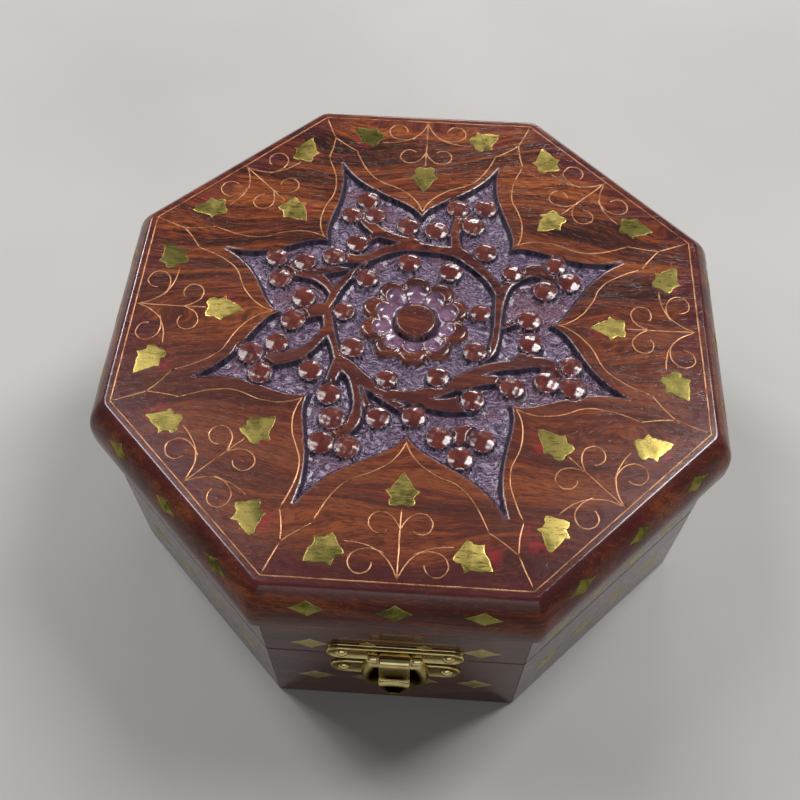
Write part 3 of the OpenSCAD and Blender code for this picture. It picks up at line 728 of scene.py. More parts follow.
def rounded_octagon(apothem, radius, n=5, support=1.5):
    """Points of an octagon with n to each round corner, and one more on the flat each side of it."""
    points = []
    for k, centre in enumerate(octagon_corners(apothem - radius)):
        angles = np.linspace(45 * k, 45 * (k + 1), n)
        curve = arc(centre, radius, angles)
        points.append(curve[0] - turned((0, support), angles[0]))
        points += curve
        points.append(curve[-1] + turned((0, support), angles[-1]))
    return np.array(points)


def panel_profile():
    """(apothem, height above the underside) from the flat top, over the swelling edge, and under."""
    flat = PANEL_T - PROUD
    steep = math.degrees(math.asin(EDGE_DROP / EDGE_R))
    swell = arc((HALF_W - EDGE_R, PANEL_T - EDGE_DROP), EDGE_R, [steep * (1 - i / 14) for i in range(1, 15)])
    corner = (HALF_W - EDGE_SETBACK, flat)
    fillet = bezier([(corner[0] - 0.4, flat), (corner[0] - 0.1, flat), corner, swell[0]], 5)
    under = arc((HALF_W - UNDER_R, UNDER_R), UNDER_R, range(0, -91, -18))
    return [*map(tuple, fillet[:-1]), *swell, *under, (INNER_A, 0.0)]


# half of a leaf from its stalk to its tip, as (along, across)
LEAF_HALF = [(0.3, 0.5), (0.0, 1.4), (0.3, 2.6), (1.3, 2.9), (2.2, 2.5), (3.2, 3.1), (4.1, 3.9), (4.6, 2.7),
             (5.4, 2.3), (6.8, 1.6), (8.0, 0.8), (9.0, 0)]
LEAF_T = 0.4
CENTRE_LEAF_BASE = 51.0
SIDE_LEAF_BASE = (12.6, -60.0)
SIDE_LEAF_TURN = 32


def leaf_places():
    """Each inlaid leaf as (kind, base point, direction in degrees)."""
    places = []
    for k in range(8):
        places.append(("centre", turned((0, -CENTRE_LEAF_BASE), 45 * k), 90 + 45 * k))
        for s in (1, -1):
            base = turned((s * SIDE_LEAF_BASE[0], SIDE_LEAF_BASE[1]), 45 * k)
            heading = -SIDE_LEAF_TURN if s > 0 else 180 + SIDE_LEAF_TURN
            places.append(("side", base, heading + 45 * k))
    return places


LEAVES = leaf_places()


def filler_spots():
    """Smudges of red filler beside three leaves in four, as (x, y, radius)."""
    spots = []
    for _, base, heading in LEAVES:
        if RNG.random() < 0.75:
            offset = turned((RNG.uniform(1.0, 3.4), 0), RNG.uniform(0, 360))
            spots.append((*(base + turned((4.5, 0), heading) + offset), RNG.uniform(3.0, 5.0)))
    return spots


FILLER = filler_spots()


def filler_mask(x, y):
    mask = np.zeros(x.shape)
    for fx, fy, r in FILLER:
        mask = np.maximum(mask, smoothstep(r, r * 0.35, np.hypot(x - fx, y - fy)))
    return mask


def fine_grid():
    """The carved field as a square grid clipped to an octagon, its vertices drawn onto sharp outlines."""
    n = int(FINE_A / FINE_STEP) + 1
    axis = np.arange(-n, n + 1) * FINE_STEP
    x, y = np.meshgrid(axis, axis)
    inside = octagon_radius(x, y) < FINE_A
    cell = inside[:-1, :-1] & inside[1:, :-1] & inside[:-1, 1:] & inside[1:, 1:]
    field = edge_field(x, y)
    gy, gx = np.gradient(field, FINE_STEP)
    size = np.maximum(np.hypot(gx, gy), 0.5)
    gx, gy = gx / size, gy / size
    px, py = x.copy(), y.copy()
    for level in (0.0, WALL_W):
        gap = field - level
        near = (np.abs(gap) < FINE_STEP * 0.5) & (np.hypot(x, y) < FINE_A - 2)
        px = np.where(near, x - gap * gx, px)
        py = np.where(near, y - gap * gy, py)
    # a cell's four corners, in order round it
    low, high = slice(None, -1), slice(1, None)
    corners = [(low, low), (low, high), (high, high), (high, low)]
    used = np.zeros(x.shape, bool)
    for corner in corners:
        used[corner] |= cell
    number = -np.ones(x.shape, int)
    number[used] = np.arange(used.sum())
    quads = np.stack([number[corner][cell] for corner in corners], axis=1)
    return px[used], py[used], quads, cell


def open_edges(faces):
    """The edges that one face alone uses, each in that face's direction."""
    faces = np.array(faces)
    edges = np.concatenate([np.stack([faces[:, i], faces[:, (i + 1) % 4]], axis=1) for i in range(4)])
    keys = np.sort(edges, axis=1)
    order = np.lexsort((keys[:, 1], keys[:, 0]))
    keys, edges = keys[order], edges[order]
    same = np.all(keys[1:] == keys[:-1], axis=1)
    alone = np.ones(len(keys), bool)
    alone[1:][same] = False
    alone[:-1][same] = False
    return edges[alone]


def flat_border(inner_xy, inner_edges, outer_xy, cell):
    """Triangles between the carved field's stepped rim and the start of the moulded edge."""
    n_in, n_out = len(inner_xy), len(outer_xy)
    lo, hi = FINE_A + 0.3, HALF_W - EDGE_SETBACK - 1.6
    axis = np.arange(-hi, hi, COARSE_STEP)
    x, y = (a.ravel() for a in np.meshgrid(axis, axis))
    ring = octagon_radius(x, y)
    keep = (ring > lo) & (ring < hi)
    points = np.vstack([inner_xy, outer_xy, np.stack([x[keep], y[keep]], axis=1)])
    edges = [tuple(map(int, e)) for e in inner_edges]
    edges += [(n_in + i, n_in + (i + 1) % n_out) for i in range(n_out)]
    found = delaunay_2d_cdt([Vector(p) for p in points], edges, [], 0, 1e-6)
    verts = np.array([tuple(v) for v in found[0]])
    tris = np.array([list(f) for f in found[2]])
    source = np.array([o[0] if o else -1 for o in found[3]])
    # triangles over the field's own cells are left out
    half = cell.shape[0] // 2
    at = np.clip(np.floor(verts[tris].mean(axis=1) / FINE_STEP).astype(int) + half, 0, 2 * half - 1)
    return verts, tris[~cell[at[:, 1], at[:, 0]]], source


def split_quads(quads, height):
    """Two triangles from each quad, parted along its more level diagonal, so that edges stay crisp."""
    a, b, c, d = quads.T
    level = np.abs(height[a] - height[c]) <= np.abs(height[b] - height[d])
    one = np.where(level[:, None], np.stack([a, b, c], axis=1), np.stack([b, c, d], axis=1))
    two = np.where(level[:, None], np.stack([a, c, d], axis=1), np.stack([b, d, a], axis=1))
    return np.vstack([one, two])


def top_panel():
    x, y, quads, cell = fine_grid()
    height, masks = carving(x, y)
    n_fine = len(x)
    rim_edges = open_edges(quads)
    rim = np.unique(rim_edges)
    place = {int(v): i for i, v in enumerate(rim)}
    local_edges = [(place[int(a)], place[int(b)]) for a, b in rim_edges]
    profile = panel_profile()
    first = rounded_octagon(profile[0][0], CORNER_R)
    flat_xy, tris, source = flat_border(np.stack([x[rim], y[rim]], axis=1), local_edges, first, cell)
    # the border's vertices are the field's rim, the first ring, or new ones
    number = np.empty(len(flat_xy), int)
    new_xy = []
    for i, s in enumerate(source):
        if 0 <= s < len(rim):
            number[i] = rim[s]
        else:
            number[i] = n_fine + len(new_xy)
            new_xy.append(flat_xy[i])
    ring_start = {int(s) - len(rim): int(number[i]) for i, s in enumerate(source)
                  if len(rim) <= s < len(rim) + len(first)}
    verts = [at_height(np.stack([x, y], axis=1), TOP_Z + height), at_height(new_xy, TOP_Z)]
    faces = [list(t) for t in split_quads(quads, height)] + [list(number[t]) for t in tris]
    before = [ring_start[i] for i in range(len(first))]
    for apothem, z in profile[1:]:
        count = sum(len(rows) for rows in verts)
        now = list(range(count, count + len(first)))
        verts.append(at_height(rounded_octagon(apothem, CORNER_R), PANEL_LO[2] + z))
        faces += map(list, zip(before, now, now[1:] + now[:1], before[1:] + before[:1]))
        before = now
    faces.append(before[::-1])
    verts = np.vstack(verts)
    obj = piece("carved_top_panel", verts, faces, TOP_WOOD, "lid", "lid_top_panel", "carved_panel",
                verts + TOP_GRAIN_AT)
    rest = np.zeros(len(verts) - n_fine)
    for mask, values in masks.items():
        set_attribute(obj.data, mask, np.concatenate([values, rest]))
    set_attribute(obj.data, "filler", filler_mask(verts[:, 0], verts[:, 1]))
    # stain gathers towards the rim and is worn off the swelling edge, which is the least glossy
    out = octagon_radius(verts[:, 0], verts[:, 1])
    set_attribute(obj.data, "rim", smoothstep(58.0, 69.0, out) * (1 - 0.6 * smoothstep(70.0, 72.5, out)))
    set_attribute(obj.data, "edge", smoothstep(70.2, 71.8, out))


top_panel()


# ---- Boards ----

MITRE_GAP = 0.02
BOARD_EASE = 0.32


def board(name, k, z0, z1, body):
    """One mitred board, its edges eased, with the grain along it."""
    outline = [(s * (a * MITRE - MITRE_GAP), -a)
               for s, a in ((-1, WALL_A), (1, WALL_A), (1, INNER_A), (-1, INNER_A))]
    verts, faces = solid([at_height(outline, z0), at_height(outline, z1)])
    obj = piece(name, turned(verts, 45 * k), faces, WALL_WOOD, body, name.replace("_board", ""),
                "varnished_walls", board_grain(verts))
    bevel(obj, BOARD_EASE, 3)


for number, side in enumerate(SIDES):
    if side == "rear":
        continue
    board(f"base_wall_{side}_board", number, 0.0, BASE_H, "base")
    board(f"lid_wall_{side}_board", number, LID_Z, PANEL_LO[2], "lid")


# ---- Diamonds ----

WALL_DIAMOND = (9.2, 6.2)
WALL_DIAMOND_PITCH = 13.0
EDGE_DIAMOND = (7.8, 4.0)
EDGE_DIAMOND_PITCH = 18.5
EDGE_DIAMOND_ANGLE = 28
DIAMOND_T = 0.3
PLATE_EDGE = 0.05


def diamond_outline(w, h):
    """A diamond with slightly hollow sides, cut by hand."""
    corners = np.array([(-w / 2, 0), (0, h / 2), (w / 2, 0), (0, -h / 2)]) + RNG.normal(0, 0.12, (4, 2))
    points = []
    for a, b in zip(corners, np.roll(corners, -1, axis=0)):
        inward = -(a + b) / 2 * 0.10
        for t in (0.0, 0.25, 0.5, 0.75):
            points.append(a + (b - a) * t + inward * 4 * t * (1 - t))
    return np.array(points)


def plate_from(outline, thickness, crown=0.0):
    """A thin plate in XY with its top at z = 0: a softened rim round a slightly crowned middle."""
    centre = outline.mean(axis=0)
    levels = [(1.0, -thickness), (1.0, -PLATE_EDGE), (1 - PLATE_EDGE / 3, -PLATE_EDGE * 0.3), (0.9, 0.0),
              (0.5, crown * 0.6)]
    rings = [at_height(centre + (outline - centre) * share, z) for share, z in levels]
    return solid([*rings, [(*centre, crown)]])


def wall_diamonds(name, body, node):
    """Four diamonds on each board, a hair proud of it."""
    lo, hi = box_mm(node)
    parts = Parts()
    for k in range(8):
        for i in range(4):
            verts, faces = plate_from(diamond_outline(*WALL_DIAMOND), DIAMOND_T, 0.02)
            verts += ((i - 1.5) * WALL_DIAMOND_PITCH, (lo[2] + hi[2]) / 2, 0.035)
            parts.add(turned(from_front(verts), 45 * k), faces)
    parts.make(name, DIAMOND_BRASS, body, node, "brass_inlay")


def edge_diamonds():
    """Diamonds bent over the swelling edge of the top panel."""
    parts = Parts()
    for k in range(8):
        for i in (-1, 0, 1):
            verts, faces = plate_from(diamond_outline(*EDGE_DIAMOND), DIAMOND_T)
            angle = math.radians(EDGE_DIAMOND_ANGLE) + verts[:, 1] / EDGE_R
            r = EDGE_R + 0.03 + verts[:, 2]
            bent = np.stack([verts[:, 0] + i * EDGE_DIAMOND_PITCH, EDGE_R - HALF_W - r * np.cos(angle),
                             PANEL_HI[2] - EDGE_DROP + r * np.sin(angle)], axis=1)
            parts.add(turned(bent, 45 * k), faces)
    parts.make("edge_diamond_inlays", EDGE_BRASS, "lid", "lid_edge_diamonds", "brass_inlay")


wall_diamonds("base_diamond_inlays", "base", "base_wall_diamonds")
wall_diamonds("lid_diamond_inlays", "lid", "lid_wall_diamonds")
edge_diamonds()


# ---- Leaves ----

def leaf_outline():
    half = np.array(LEAF_HALF, float)
    other = half[-2:0:-1] * [1, -1]
    outline = np.vstack([half, other, half[:1] * [1, -1]])
    outline += RNG.normal(0, 0.09, outline.shape)
    outline[:, 1] *= RNG.uniform(0.92, 1.06)
    outline[:, 0] *= RNG.uniform(0.95, 1.03)
    return outline[::-1]


def leaves(kind, name, node):
    """Inlaid leaves, each of its own tone of brass."""
    parts = Parts()
    tones = []
    for what, base, heading in LEAVES:
        if what != kind:
            continue
        verts, faces = plate_from(leaf_outline(), LEAF_T)
        parts.add(turned(verts, heading) + (*base, TOP_Z + PROUD * 0.8), faces)
        tones.append(np.full(len(verts), 0.85 * RNG.random() ** 1.5))
    obj = parts.make(name, LEAF_BRASS, "lid", node, "brass_inlay")
    set_attribute(obj.data, "tone", np.concatenate(tones))


leaves("centre", "centre_leaves", "centre_leaf_inlays")
leaves("side", "side_leaves", "side_leaf_inlays")


# ---- Wires ----

WIRE_W = 0.35
WIRE_SUNK = 0.25
# the middle of the CAD's border wire, which is 0.45 mm wide
BORDER_A = box_mm("border_wire_inlay")[1][0] - 0.225


def wire(parts, path, wobble=0.06, closed=False):
    """A flat hammered wire along a path: three points across, and its sides sunk in the wood."""
    bends = RNG.normal(0, wobble, path.shape)
    for c in (0, 1):
        bends[:, c] = np.convolve(bends[:, c], [0.25, 0.5, 0.25], mode="same")
    bends[0] = bends[-1] = 0
    path = path + bends
    ahead = np.roll(path, -1, axis=0) - np.roll(path, 1, axis=0)
    if not closed:
        ahead[0], ahead[-1] = path[1] - path[0], path[-1] - path[-2]
    ahead /= np.linalg.norm(ahead, axis=1)[:, None]
    side = np.stack([-ahead[:, 1], ahead[:, 0]], axis=1)
    halves = WIRE_W / 2 * (1 + RNG.normal(0, 0.07, len(path)))
    section = [(-1, -WIRE_SUNK), (-1, 0.6 * PROUD), (0, 0.95 * PROUD), (1, 0.6 * PROUD), (1, -WIRE_SUNK)]
    rows = [at_height(path + side * (across * halves)[:, None], TOP_Z + z) for across, z in section]
    rings = list(np.stack(rows, axis=1))
    parts.add(*(skin(rings, closed=True) if closed else solid(rings)))


ARCH_APEX = (0, -34.6)
ARCH_SHOULDER = (9.7, -44)
ARCH_CUSP = (18.9, -56)
ARCH_JOINT = (25.2, -60.8)


def arch_half():
    """Half of a pointed arch as one curve, and the curve from its cusp to the wire from the corner."""
    rise = bezier([ARCH_APEX, (0.8, -38.5), (4.5, -42.3), ARCH_SHOULDER], 14)
    fall = bezier([ARCH_SHOULDER, (13.6, -45.4), (16.2, -49), ARCH_CUSP], 14)
    foot = bezier([ARCH_CUSP, (20.6, -57), (23.2, -58.8), ARCH_JOINT], 9)
    return np.vstack([rise, fall[1:]]), foot


def arches():
    parts = Parts()
    for k in range(8):
        for s in (1, -1):
            for curve in arch_half():
                wire(parts, turned(curve * [s, 1], 45 * k))
        corner = (BORDER_A - 0.4) * np.array([MITRE, -1])
        stem = np.linspace(ARCH_JOINT, corner, 8)
        wire(parts, turned(stem, 45 * k))
    parts.make("arch_wires", WIRE_COPPER, "lid", "arch_wire_inlays", "copper_wire")


def scroll(centre, r0, r1, a0, a1):
    """A curl whose radius shrinks from r0 to r1 between two angles."""
    t = np.linspace(0, 1, 34)
    a = np.radians(a0 + t * (a1 - a0))
    r = r1 + (r0 - r1) * np.exp(-9 * t)
    return np.stack([centre[0] + r * np.cos(a), centre[1] - r * np.sin(a)], axis=1)


def scrolls():
    parts = Parts()
    for k in range(8):
        stem = np.linspace((0, -CENTRE_LEAF_BASE - 0.1), (0, -BORDER_A + 0.3), 14)
        wire(parts, turned(stem, 45 * k))
        for s in (1, -1):
            curves = [scroll((4.5, -54.9), 4.8, 2.4, 160, 498), scroll((8, -64.3), 5.5, 2.5, 205, 545),
                      bezier([(0.1, -67.6), (1.6, -63), (4.5, -59.6), (12.1, -59.7)], 14)]
            for curve in curves:
                wire(parts, turned(curve * [s, 1], 45 * k))
    parts.make("scroll_wires", WIRE_COPPER, "lid", "scroll_wire_inlays", "copper_wire")


def border():
    parts = Parts()
    corners = octagon_corners(BORDER_A)
    path = np.vstack([np.linspace(a, b, 24, endpoint=False)
                      for a, b in zip(corners, corners[1:] + corners[:1])])
    wire(parts, path, wobble=0.03, closed=True)
    parts.make("border_wire", WIRE_COPPER, "lid", "border_wire_inlay", "copper_wire")


arches()
scrolls()
border()


# ---- Clasp: x across, height, and out from the front wall ----

UPPER_LO, UPPER_HI = box_mm("clasp_upper_plate")
KEEPER_LO, KEEPER_HI = box_mm("clasp_keeper_plate")
TONGUE_LO, TONGUE_HI = box_mm("clasp_hasp")
PIN_LO, PIN_HI = box_mm("clasp_pin")
PIN_Z = (PIN_LO[2] + PIN_HI[2]) / 2
PIN_OUT = -WALL_A - (PIN_LO[1] + PIN_HI[1]) / 2
TONGUE_HALF = (TONGUE_HI[0] - TONGUE_LO[0]) / 2
TONGUE_T = 0.7
KNUCKLE_R = 1.3
# how far out the folded plate's front layer stands, and the gap that the bell keeps from it
FOLD_OUT = 1.3
BELL_GAP = 0.32
BELL_R = 8.3


def strip_outline(w, h, z):
    """A strip with round ends about (0, z)."""
    right = np.array(arc(((w - h) / 2, 0), h / 2, np.linspace(-90, 90, 13)))
    return np.vstack([right, -right]) + (0, z)


def embossed_plate(parts, w, h, z, out, rim, sunk):
    """A round-ended sheet with a raised, rounded rim: rings from its back edge in to its sunken middle."""
    levels = [(0.0, 0.0), (0.0, out - 0.22), (0.12, out - 0.06), (0.32, out), (rim, out),
              (rim + 0.22, out - 0.05), (rim + 0.42, out - sunk)]
    verts, faces = solid([at_height(strip_outline(w - 2 * inset, h - 2 * inset, z), level)
                          for inset, level in levels])
    parts.add(from_front(verts), faces)


def knuckle(parts, x0, x1):
    """Sheet rolled round the pin from x0 to x1, its ends eased, and a saddle that joins it to its plate."""
    ease = 0.15
    eased_r = KNUCKLE_R - ease
    angles = np.linspace(0, 360, 28, endpoint=False)
    rings = [[(x0, PIN_Z, PIN_OUT)]]
    for r, x in ((eased_r, x0), (KNUCKLE_R, x0 + ease), (KNUCKLE_R, x1 - ease), (eased_r, x1)):
        rings.append([(x, z, out) for out, z in arc((PIN_OUT, PIN_Z), r, angles)])
    verts, faces = solid([*rings, [(x1, PIN_Z, PIN_OUT)]])
    parts.add(from_front(verts), faces)
    x0, x1 = x0 + 0.05, x1 - 0.05
    z0, z1 = PIN_Z - KNUCKLE_R + 0.1, PIN_Z + KNUCKLE_R - 0.25
    outline = [(x0, z0), (x1, z0), (x1, z1), (x0, z1)]
    verts, faces = solid([at_height(outline, 0.8), at_height(outline, PIN_OUT)])
    parts.add(from_front(verts), faces)


def upper_plate():
    """Sheet folded double, with the hasp's two side knuckles rolled from its front layer."""
    w = UPPER_HI[0] - UPPER_LO[0]
    z = (UPPER_LO[2] + UPPER_HI[2]) / 2
    h = UPPER_HI[2] - UPPER_LO[2]
    parts = Parts()
    embossed_plate(parts, w, h - 0.4, z - 0.2, 0.5, 0.5, 0.08)
    embossed_plate(parts, w, h - 0.5, z - 0.25, FOLD_OUT, 0.38, 0.18)
    near, far = TONGUE_HALF + 0.25, PIN_HI[0]
    knuckle(parts, -far, -near)
    knuckle(parts, near, far)
    parts.make("clasp_plate_folded", CLASP_BRASS, "lid", "clasp_upper_plate", "clasp_brass")


def bell_outline(foot, bell_z, top, top_half):
    """Counter-clockwise round the foot, with the shoulders flaring into the round."""
    below = arc((0, bell_z), BELL_R, np.linspace(-178, -2, 25))
    flare = bezier([(BELL_R, bell_z + 0.4), (BELL_R, bell_z + 5), (top_half + 1.0, top - 4),
                    (top_half, top)], 8)
    return np.vstack([below, flare, flare[::-1] * (-1, 1)])


def keeper_plate():
    """The lower plate with its bell-shaped catch, a smooth pressing with a ridge down each side."""
    foot, top = KEEPER_LO[2], KEEPER_HI[2]
    bell_z = foot + BELL_R
    out_max = -WALL_A - KEEPER_LO[1]
    parts = Parts()
    embossed_plate(parts, KEEPER_HI[0] - KEEPER_LO[0], 8.0, BASE_H - 7.6, 0.7, 0.6, 0.14)
    outline = bell_outline(foot, bell_z, top, 6.2)
    centre = np.array([0.0, bell_z + 1.5])
    # from the rim in: the share of the outline, and of how far out the bell stands
    levels = [(1.0, 0.0), (1.0, 0.14), (0.985, 0.34), (0.96, 0.62), (0.92, 0.86), (0.87, 0.97), (0.82, 1.0),
              (0.77, 0.98), (0.71, 0.88), (0.62, 0.72), (0.5, 0.66), (0.3, 0.64)]
    rings = []
    for share, level in levels:
        ring = centre + (outline - centre) * share
        lean = np.interp(ring[:, 1], [foot, foot + 2.2, bell_z, top], [0.52, 0.9, 1.0, 0.97])
        clear = np.where(ring[:, 1] > LID_Z, FOLD_OUT + BELL_GAP, 0.0)
        rings.append(at_height(ring, np.maximum(out_max * level * lean, clear)))
    bell, faces = solid([*rings, [(*centre, out_max * levels[-1][1])]])
    parts.add(from_front(bell), faces)
    obj = parts.make("clasp_keeper_bell", CLASP_BRASS, "base", "clasp_keeper_plate", "clasp_brass")
    # the hollow middle is darkened, for the dark room that it reflects
    dark = np.interp(np.arange(len(levels)), [5, 7, 8, 11], [0.0, 0.5, 0.85, 0.9])
    shade = np.zeros(len(obj.data.vertices))
    shade[-len(bell):] = [*np.repeat(dark, len(outline)), dark[-1]]
    set_attribute(obj.data, "hollow", shade)


def tongue_line():
    """The middle of the tongue's sheet, as (out, height), and how many of its points are roll and lip."""
    inner = TONGUE_T / 2
    tip = TONGUE_LO[2]
    shelf = PIN_Z - 9.7
    face, bend_r = 4.2, 1.6
    roll = arc((PIN_OUT, PIN_Z), KNUCKLE_R - inner, range(330, 89, -20))
    bend = arc((face - bend_r, PIN_Z + KNUCKLE_R - bend_r), bend_r - inner, range(90, -1, -15))
    mid = face - inner
    low = -WALL_A - TONGUE_LO[1] - inner
    drop = [(mid, z) for z in np.linspace(PIN_Z - 1.5, shelf + 1.6, 5)]
    step = bezier([(mid, shelf + 1.4), (mid, shelf + 0.1), (low, shelf + 0.5), (low, shelf - 1.0)], 8)
    lip = [(low, z) for z in np.linspace(shelf - 1.8, tip, 9)]
    line = np.vstack([roll, bend, drop, step, lip])
    apart = np.linalg.norm(np.diff(line, axis=0), axis=1) > 0.05
    return line[np.concatenate([[True], apart])], len(roll) + len(bend) // 2, len(lip) + 4


def hasp_tongue():
    """The tongue: rolled round the pin, down, out along a shelf, and down to a round tip."""
    line, rolled, lip = tongue_line()
    ahead = np.gradient(line, axis=0)
    ahead /= np.linalg.norm(ahead, axis=1)[:, None]
    normal = np.stack([ahead[:, 1], -ahead[:, 0]], axis=1)
    # half widths: full, but drawn in to a blunt point over the lip
    taper = 5.2
    up = line[:, 1] - TONGUE_LO[2]
    on_lip = np.arange(len(line)) >= len(line) - lip
    narrow = 0.2 + 0.8 * (np.clip(up, 0.0, taper) / taper) ** 0.8
    widths = TONGUE_HALF * np.where(on_lip, narrow, 1.0)
    # across the sheet: place, share of its thickness, dish of the lip, and shade
    section = [(-1, 0.25, 0, 0), (-0.97, 0.7, 0, 0), (-0.86, 1, 0.05, 0.5), (-0.5, 1, 0.2, 1),
               (0, 1, 0.25, 1), (0.5, 1, 0.2, 1), (0.86, 1, 0.05, 0.5), (0.97, 0.7, 0, 0), (1, 0.25, 0, 0)]
    rings = []
    for (out, z), (n_out, n_z), w, lipped in zip(line, normal, widths, on_lip):
        ring = []
        for side in (-1, 1):
            for across, share, dish, _ in section[::-side]:
                lift = side * TONGUE_T / 2 * share + (dish if lipped and w > 1 else 0)
                ring.append((across * w, z + n_z * lift, out + n_out * lift))
        rings.append(ring)
    verts, faces = skin(rings)
    # each end is closed by a strip between its two faces
    last = 2 * len(section) - 1
    for first in (0, len(verts) - last - 1):
        faces += [[first + j, first + j + 1, first + last - j - 1, first + last - j]
                  for j in range(len(section) - 1)]
    obj = piece("clasp_tongue", from_front(verts), faces, CLASP_BRASS, "hasp", "clasp_hasp", "clasp_brass")
    # the front face and the dished lip get a painted dark reflection too, inside their bright rims
    along = np.interp(up, [0.5, 1.0, 1.6, 5.4, 6.2, 7.7, 8.4, 10.0, 12.5, 15.0],
                      [0.0, 0.6, 0.98, 0.98, 0.1, 0.0, 0.95, 0.85, 0.35, 0.0])
    along[:rolled] = 0
    shades = [shade for *_, shade in section]
    set_attribute(obj.data, "hollow", np.outer(along, shades + shades).ravel())


upper_plate()
keeper_plate()
hasp_tongue()


# ---- Pieces shaped on the CAD's own meshes ----

def eased_copy(node, material, body, ease):
    """A piece from a copy of a node's mesh, joined up and with its edges eased."""
    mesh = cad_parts[node].data.copy()
    work = bmesh.new()
    work.from_mesh(mesh)
    bmesh.ops.remove_doubles(work, verts=work.verts, dist=0.001 * MM)
    bmesh.ops.dissolve_limit(work, angle_limit=math.radians(1), verts=work.verts, edges=work.edges)
    work.to_mesh(mesh)
    work.free()
    if "custom_normal" in mesh.attributes:
        mesh.attributes.remove(mesh.attributes["custom_normal"])
    at = np.empty(len(mesh.vertices) * 3)
    mesh.vertices.foreach_get("co", at)
    set_attribute(mesh, "grain", board_grain(at.reshape(-1, 3) / MM))
    bevel(new_piece(f"{node}_piece", mesh, material, body, node), ease, 2)


HINGE_NODES = [("left_hinge_base_leaf", "base"), ("right_hinge_base_leaf", "base"),
               ("left_hinge_pin", "base"), ("right_hinge_pin", "base"), ("hinge_base_screws", "base"),
               ("left_hinge_lid_leaf", "lid"), ("right_hinge_lid_leaf", "lid"), ("hinge_lid_screws", "lid")]
CLASP_NODES = [("clasp_keeper_screws", "base"), ("clasp_pin", "lid"), ("clasp_upper_screws", "lid")]

for node_name, node_body in HINGE_NODES:
    eased_copy(node_name, HINGE_BRASS, node_body, 0.1)
for node_name, node_body in CLASP_NODES:
    eased_copy(node_name, CLASP_BRASS, node_body, 0.08)
# the rear boards keep the CAD's mortises for the hinges
for board_body in ("base", "lid"):
    eased_copy(f"{board_body}_wall_rear", WALL_WOOD, board_body, 0.25)
eased_copy("base_floor_panel", FLOOR_WOOD, "base", 0.3)


# ---- Velvet ----

LINING_T = 1.0


def velvet_ring(name, node, body):
    """A wall lining with rolled edges."""
    lo, hi = box_mm(node)
    outer = hi[0] - 0.02
    inner = outer - LINING_T
    z0, z1 = lo[2], hi[2]
    rows = [(outer, z0), (inner + 0.3, z0), (inner, z0 + 0.4), (inner, z1 - 0.5), (inner + 0.2, z1 - 0.12),
            (inner + 0.6, z1), (outer, z1 - 0.2)]
    verts, faces = skin([at_height(rounded_octagon(a, 0.6, 3, 0.8), z) for a, z in rows], closed=True)
    piece(name, verts, faces, VELVET, body, node, "velvet")


def velvet_pad(name, node, body, up):
    """A pad with a crowned face and pulled-in rim; up is 1 where its face looks up and -1 where down."""
    lo, hi = box_mm(node)
    apothem = hi[0] - 0.05
    thick = hi[2] - lo[2]
    face = hi[2] if up > 0 else lo[2]
    # from the back in to the middle: apothem, and how far below the face as a share of the thickness
    levels = [(apothem, 1.0), (apothem - 0.1, 0.45), (apothem - 0.9, 0.18), (apothem - 2.4, 0.06),
              (apothem - 6, 0.02), (apothem * 0.6, 0.0), (apothem * 0.3, 0.01)]
    rings = []
    for a, drop in levels:
        ring = rounded_octagon(a, min(2.0, a * 0.3), 4, 1.0)
        ripple = 0.10 * np.abs(np.sin(ring[:, 0] * 0.21 + 1) * np.cos(ring[:, 1] * 0.17))
        rings.append(at_height(ring, face - up * (thick * drop + ripple * (drop < 0.1))))
    obj = piece(name, *solid(rings), VELVET, body, node, "velvet")


velvet_ring("base_velvet_sides", "base_wall_lining", "base")
velvet_ring("lid_velvet_sides", "lid_wall_lining", "lid")
velvet_pad("base_velvet_pad", "base_floor_lining", "base", 1)
velvet_pad("lid_velvet_pad", "lid_top_lining", "lid", -1)


# ---- Stage: floor, light and camera ----

FLOOR_HALF = 3.0
LIGHT_TARGET = Vector((0, 0, 0.05))


def floor():
    s = Shader("pale_floor")
    shade = s.noise(s.node("TexCoord").outputs["Object"], 9.0, 3.0, 0.5)
    colour = s.mix(s.fade(shade, 0.3, 0.7), rgb(172, 170, 166), rgb(180, 177, 174))
    corners = [(x * FLOOR_HALF, y * FLOOR_HALF, 0) for x, y in ((-1, -1), (1, -1), (1, 1), (-1, 1))]
    mesh = bpy.data.meshes.new("floor")
    mesh.from_pydata(corners, [], [(0, 1, 2, 3)])
    mesh.materials.append(s.finish(Base_Color=colour, Roughness=0.6))
    new_object("floor", mesh)


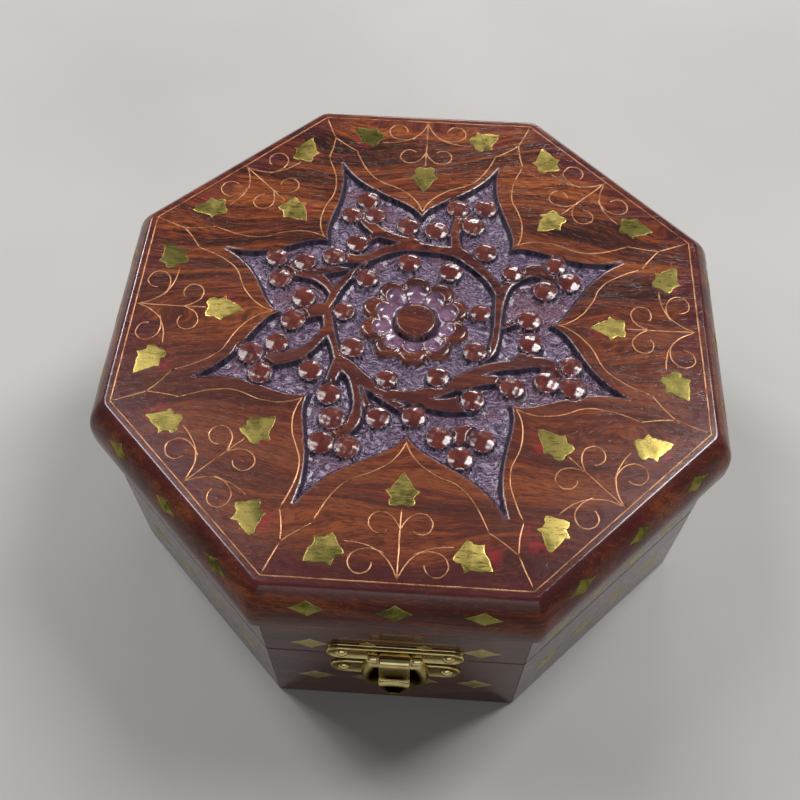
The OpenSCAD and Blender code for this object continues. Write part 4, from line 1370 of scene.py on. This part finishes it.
def area_light(name, at, size, power):
    data = bpy.data.lights.new(name, "AREA")
    data.shape = "RECTANGLE"
    data.size, data.size_y = size
    data.energy = power
    obj = new_object(name, data)
    obj.location = at
    obj.rotation_euler = (LIGHT_TARGET - Vector(at)).to_track_quat("-Z", "Y").to_euler()


def lights():
    area_light("left_overhead", (-0.56, 0.34, 0.98), (0.3, 0.5), 4.8)
    area_light("right_overhead", (0.58, 0.38, 0.96), (0.34, 0.5), 9.5)
    area_light("rear_softbox", (0.10, 1.15, 0.55), (0.4, 0.12), 3.4)
    area_light("rear_left_softbox", (-0.85, 0.70, 0.62), (0.25, 0.25), 4)
    area_light("front_fill", (0.2, -1.3, 0.75), (1.6, 0.9), 3.4)
    world = bpy.data.worlds.new("studio")
    world.use_nodes = True
    background = world.node_tree.nodes["Background"]
    background.inputs["Color"].default_value = (0.84, 0.87, 0.94, 1)
    background.inputs["Strength"].default_value = 0.14
    bpy.context.scene.world = world


# where the photo was taken from, fitted to the box's corners in it
CAMERA_AZIMUTH = math.radians(3.39)
CAMERA_ELEVATION = math.radians(57.55)
CAMERA_ROLL = math.radians(0.30)
CAMERA_TARGET = Vector((-0.0021, -0.0238, float(PANEL_HI[2]) * MM))
CAMERA_DISTANCE = 0.2297
CAMERA_LENS = 44.97


def camera():
    a, e = CAMERA_AZIMUTH, CAMERA_ELEVATION
    back = Vector((math.sin(a) * math.cos(e), -math.cos(a) * math.cos(e), math.sin(e)))
    right = Vector((math.cos(a), math.sin(a), 0))
    up = back.cross(right)
    c, s = math.cos(CAMERA_ROLL), math.sin(CAMERA_ROLL)
    right, up = c * right + s * up, -s * right + c * up
    data = bpy.data.cameras.new("camera")
    data.lens = CAMERA_LENS
    data.sensor_width = 36.0
    data.clip_start = 0.01
    obj = new_object("camera", data)
    at = CAMERA_TARGET + back * CAMERA_DISTANCE
    obj.matrix_world = Matrix.Translation(at) @ Matrix((right, up, back)).transposed().to_4x4()
    bpy.context.scene.camera = obj
    bpy.context.scene.view_settings.view_transform = "Standard"


floor()
lights()
camera()
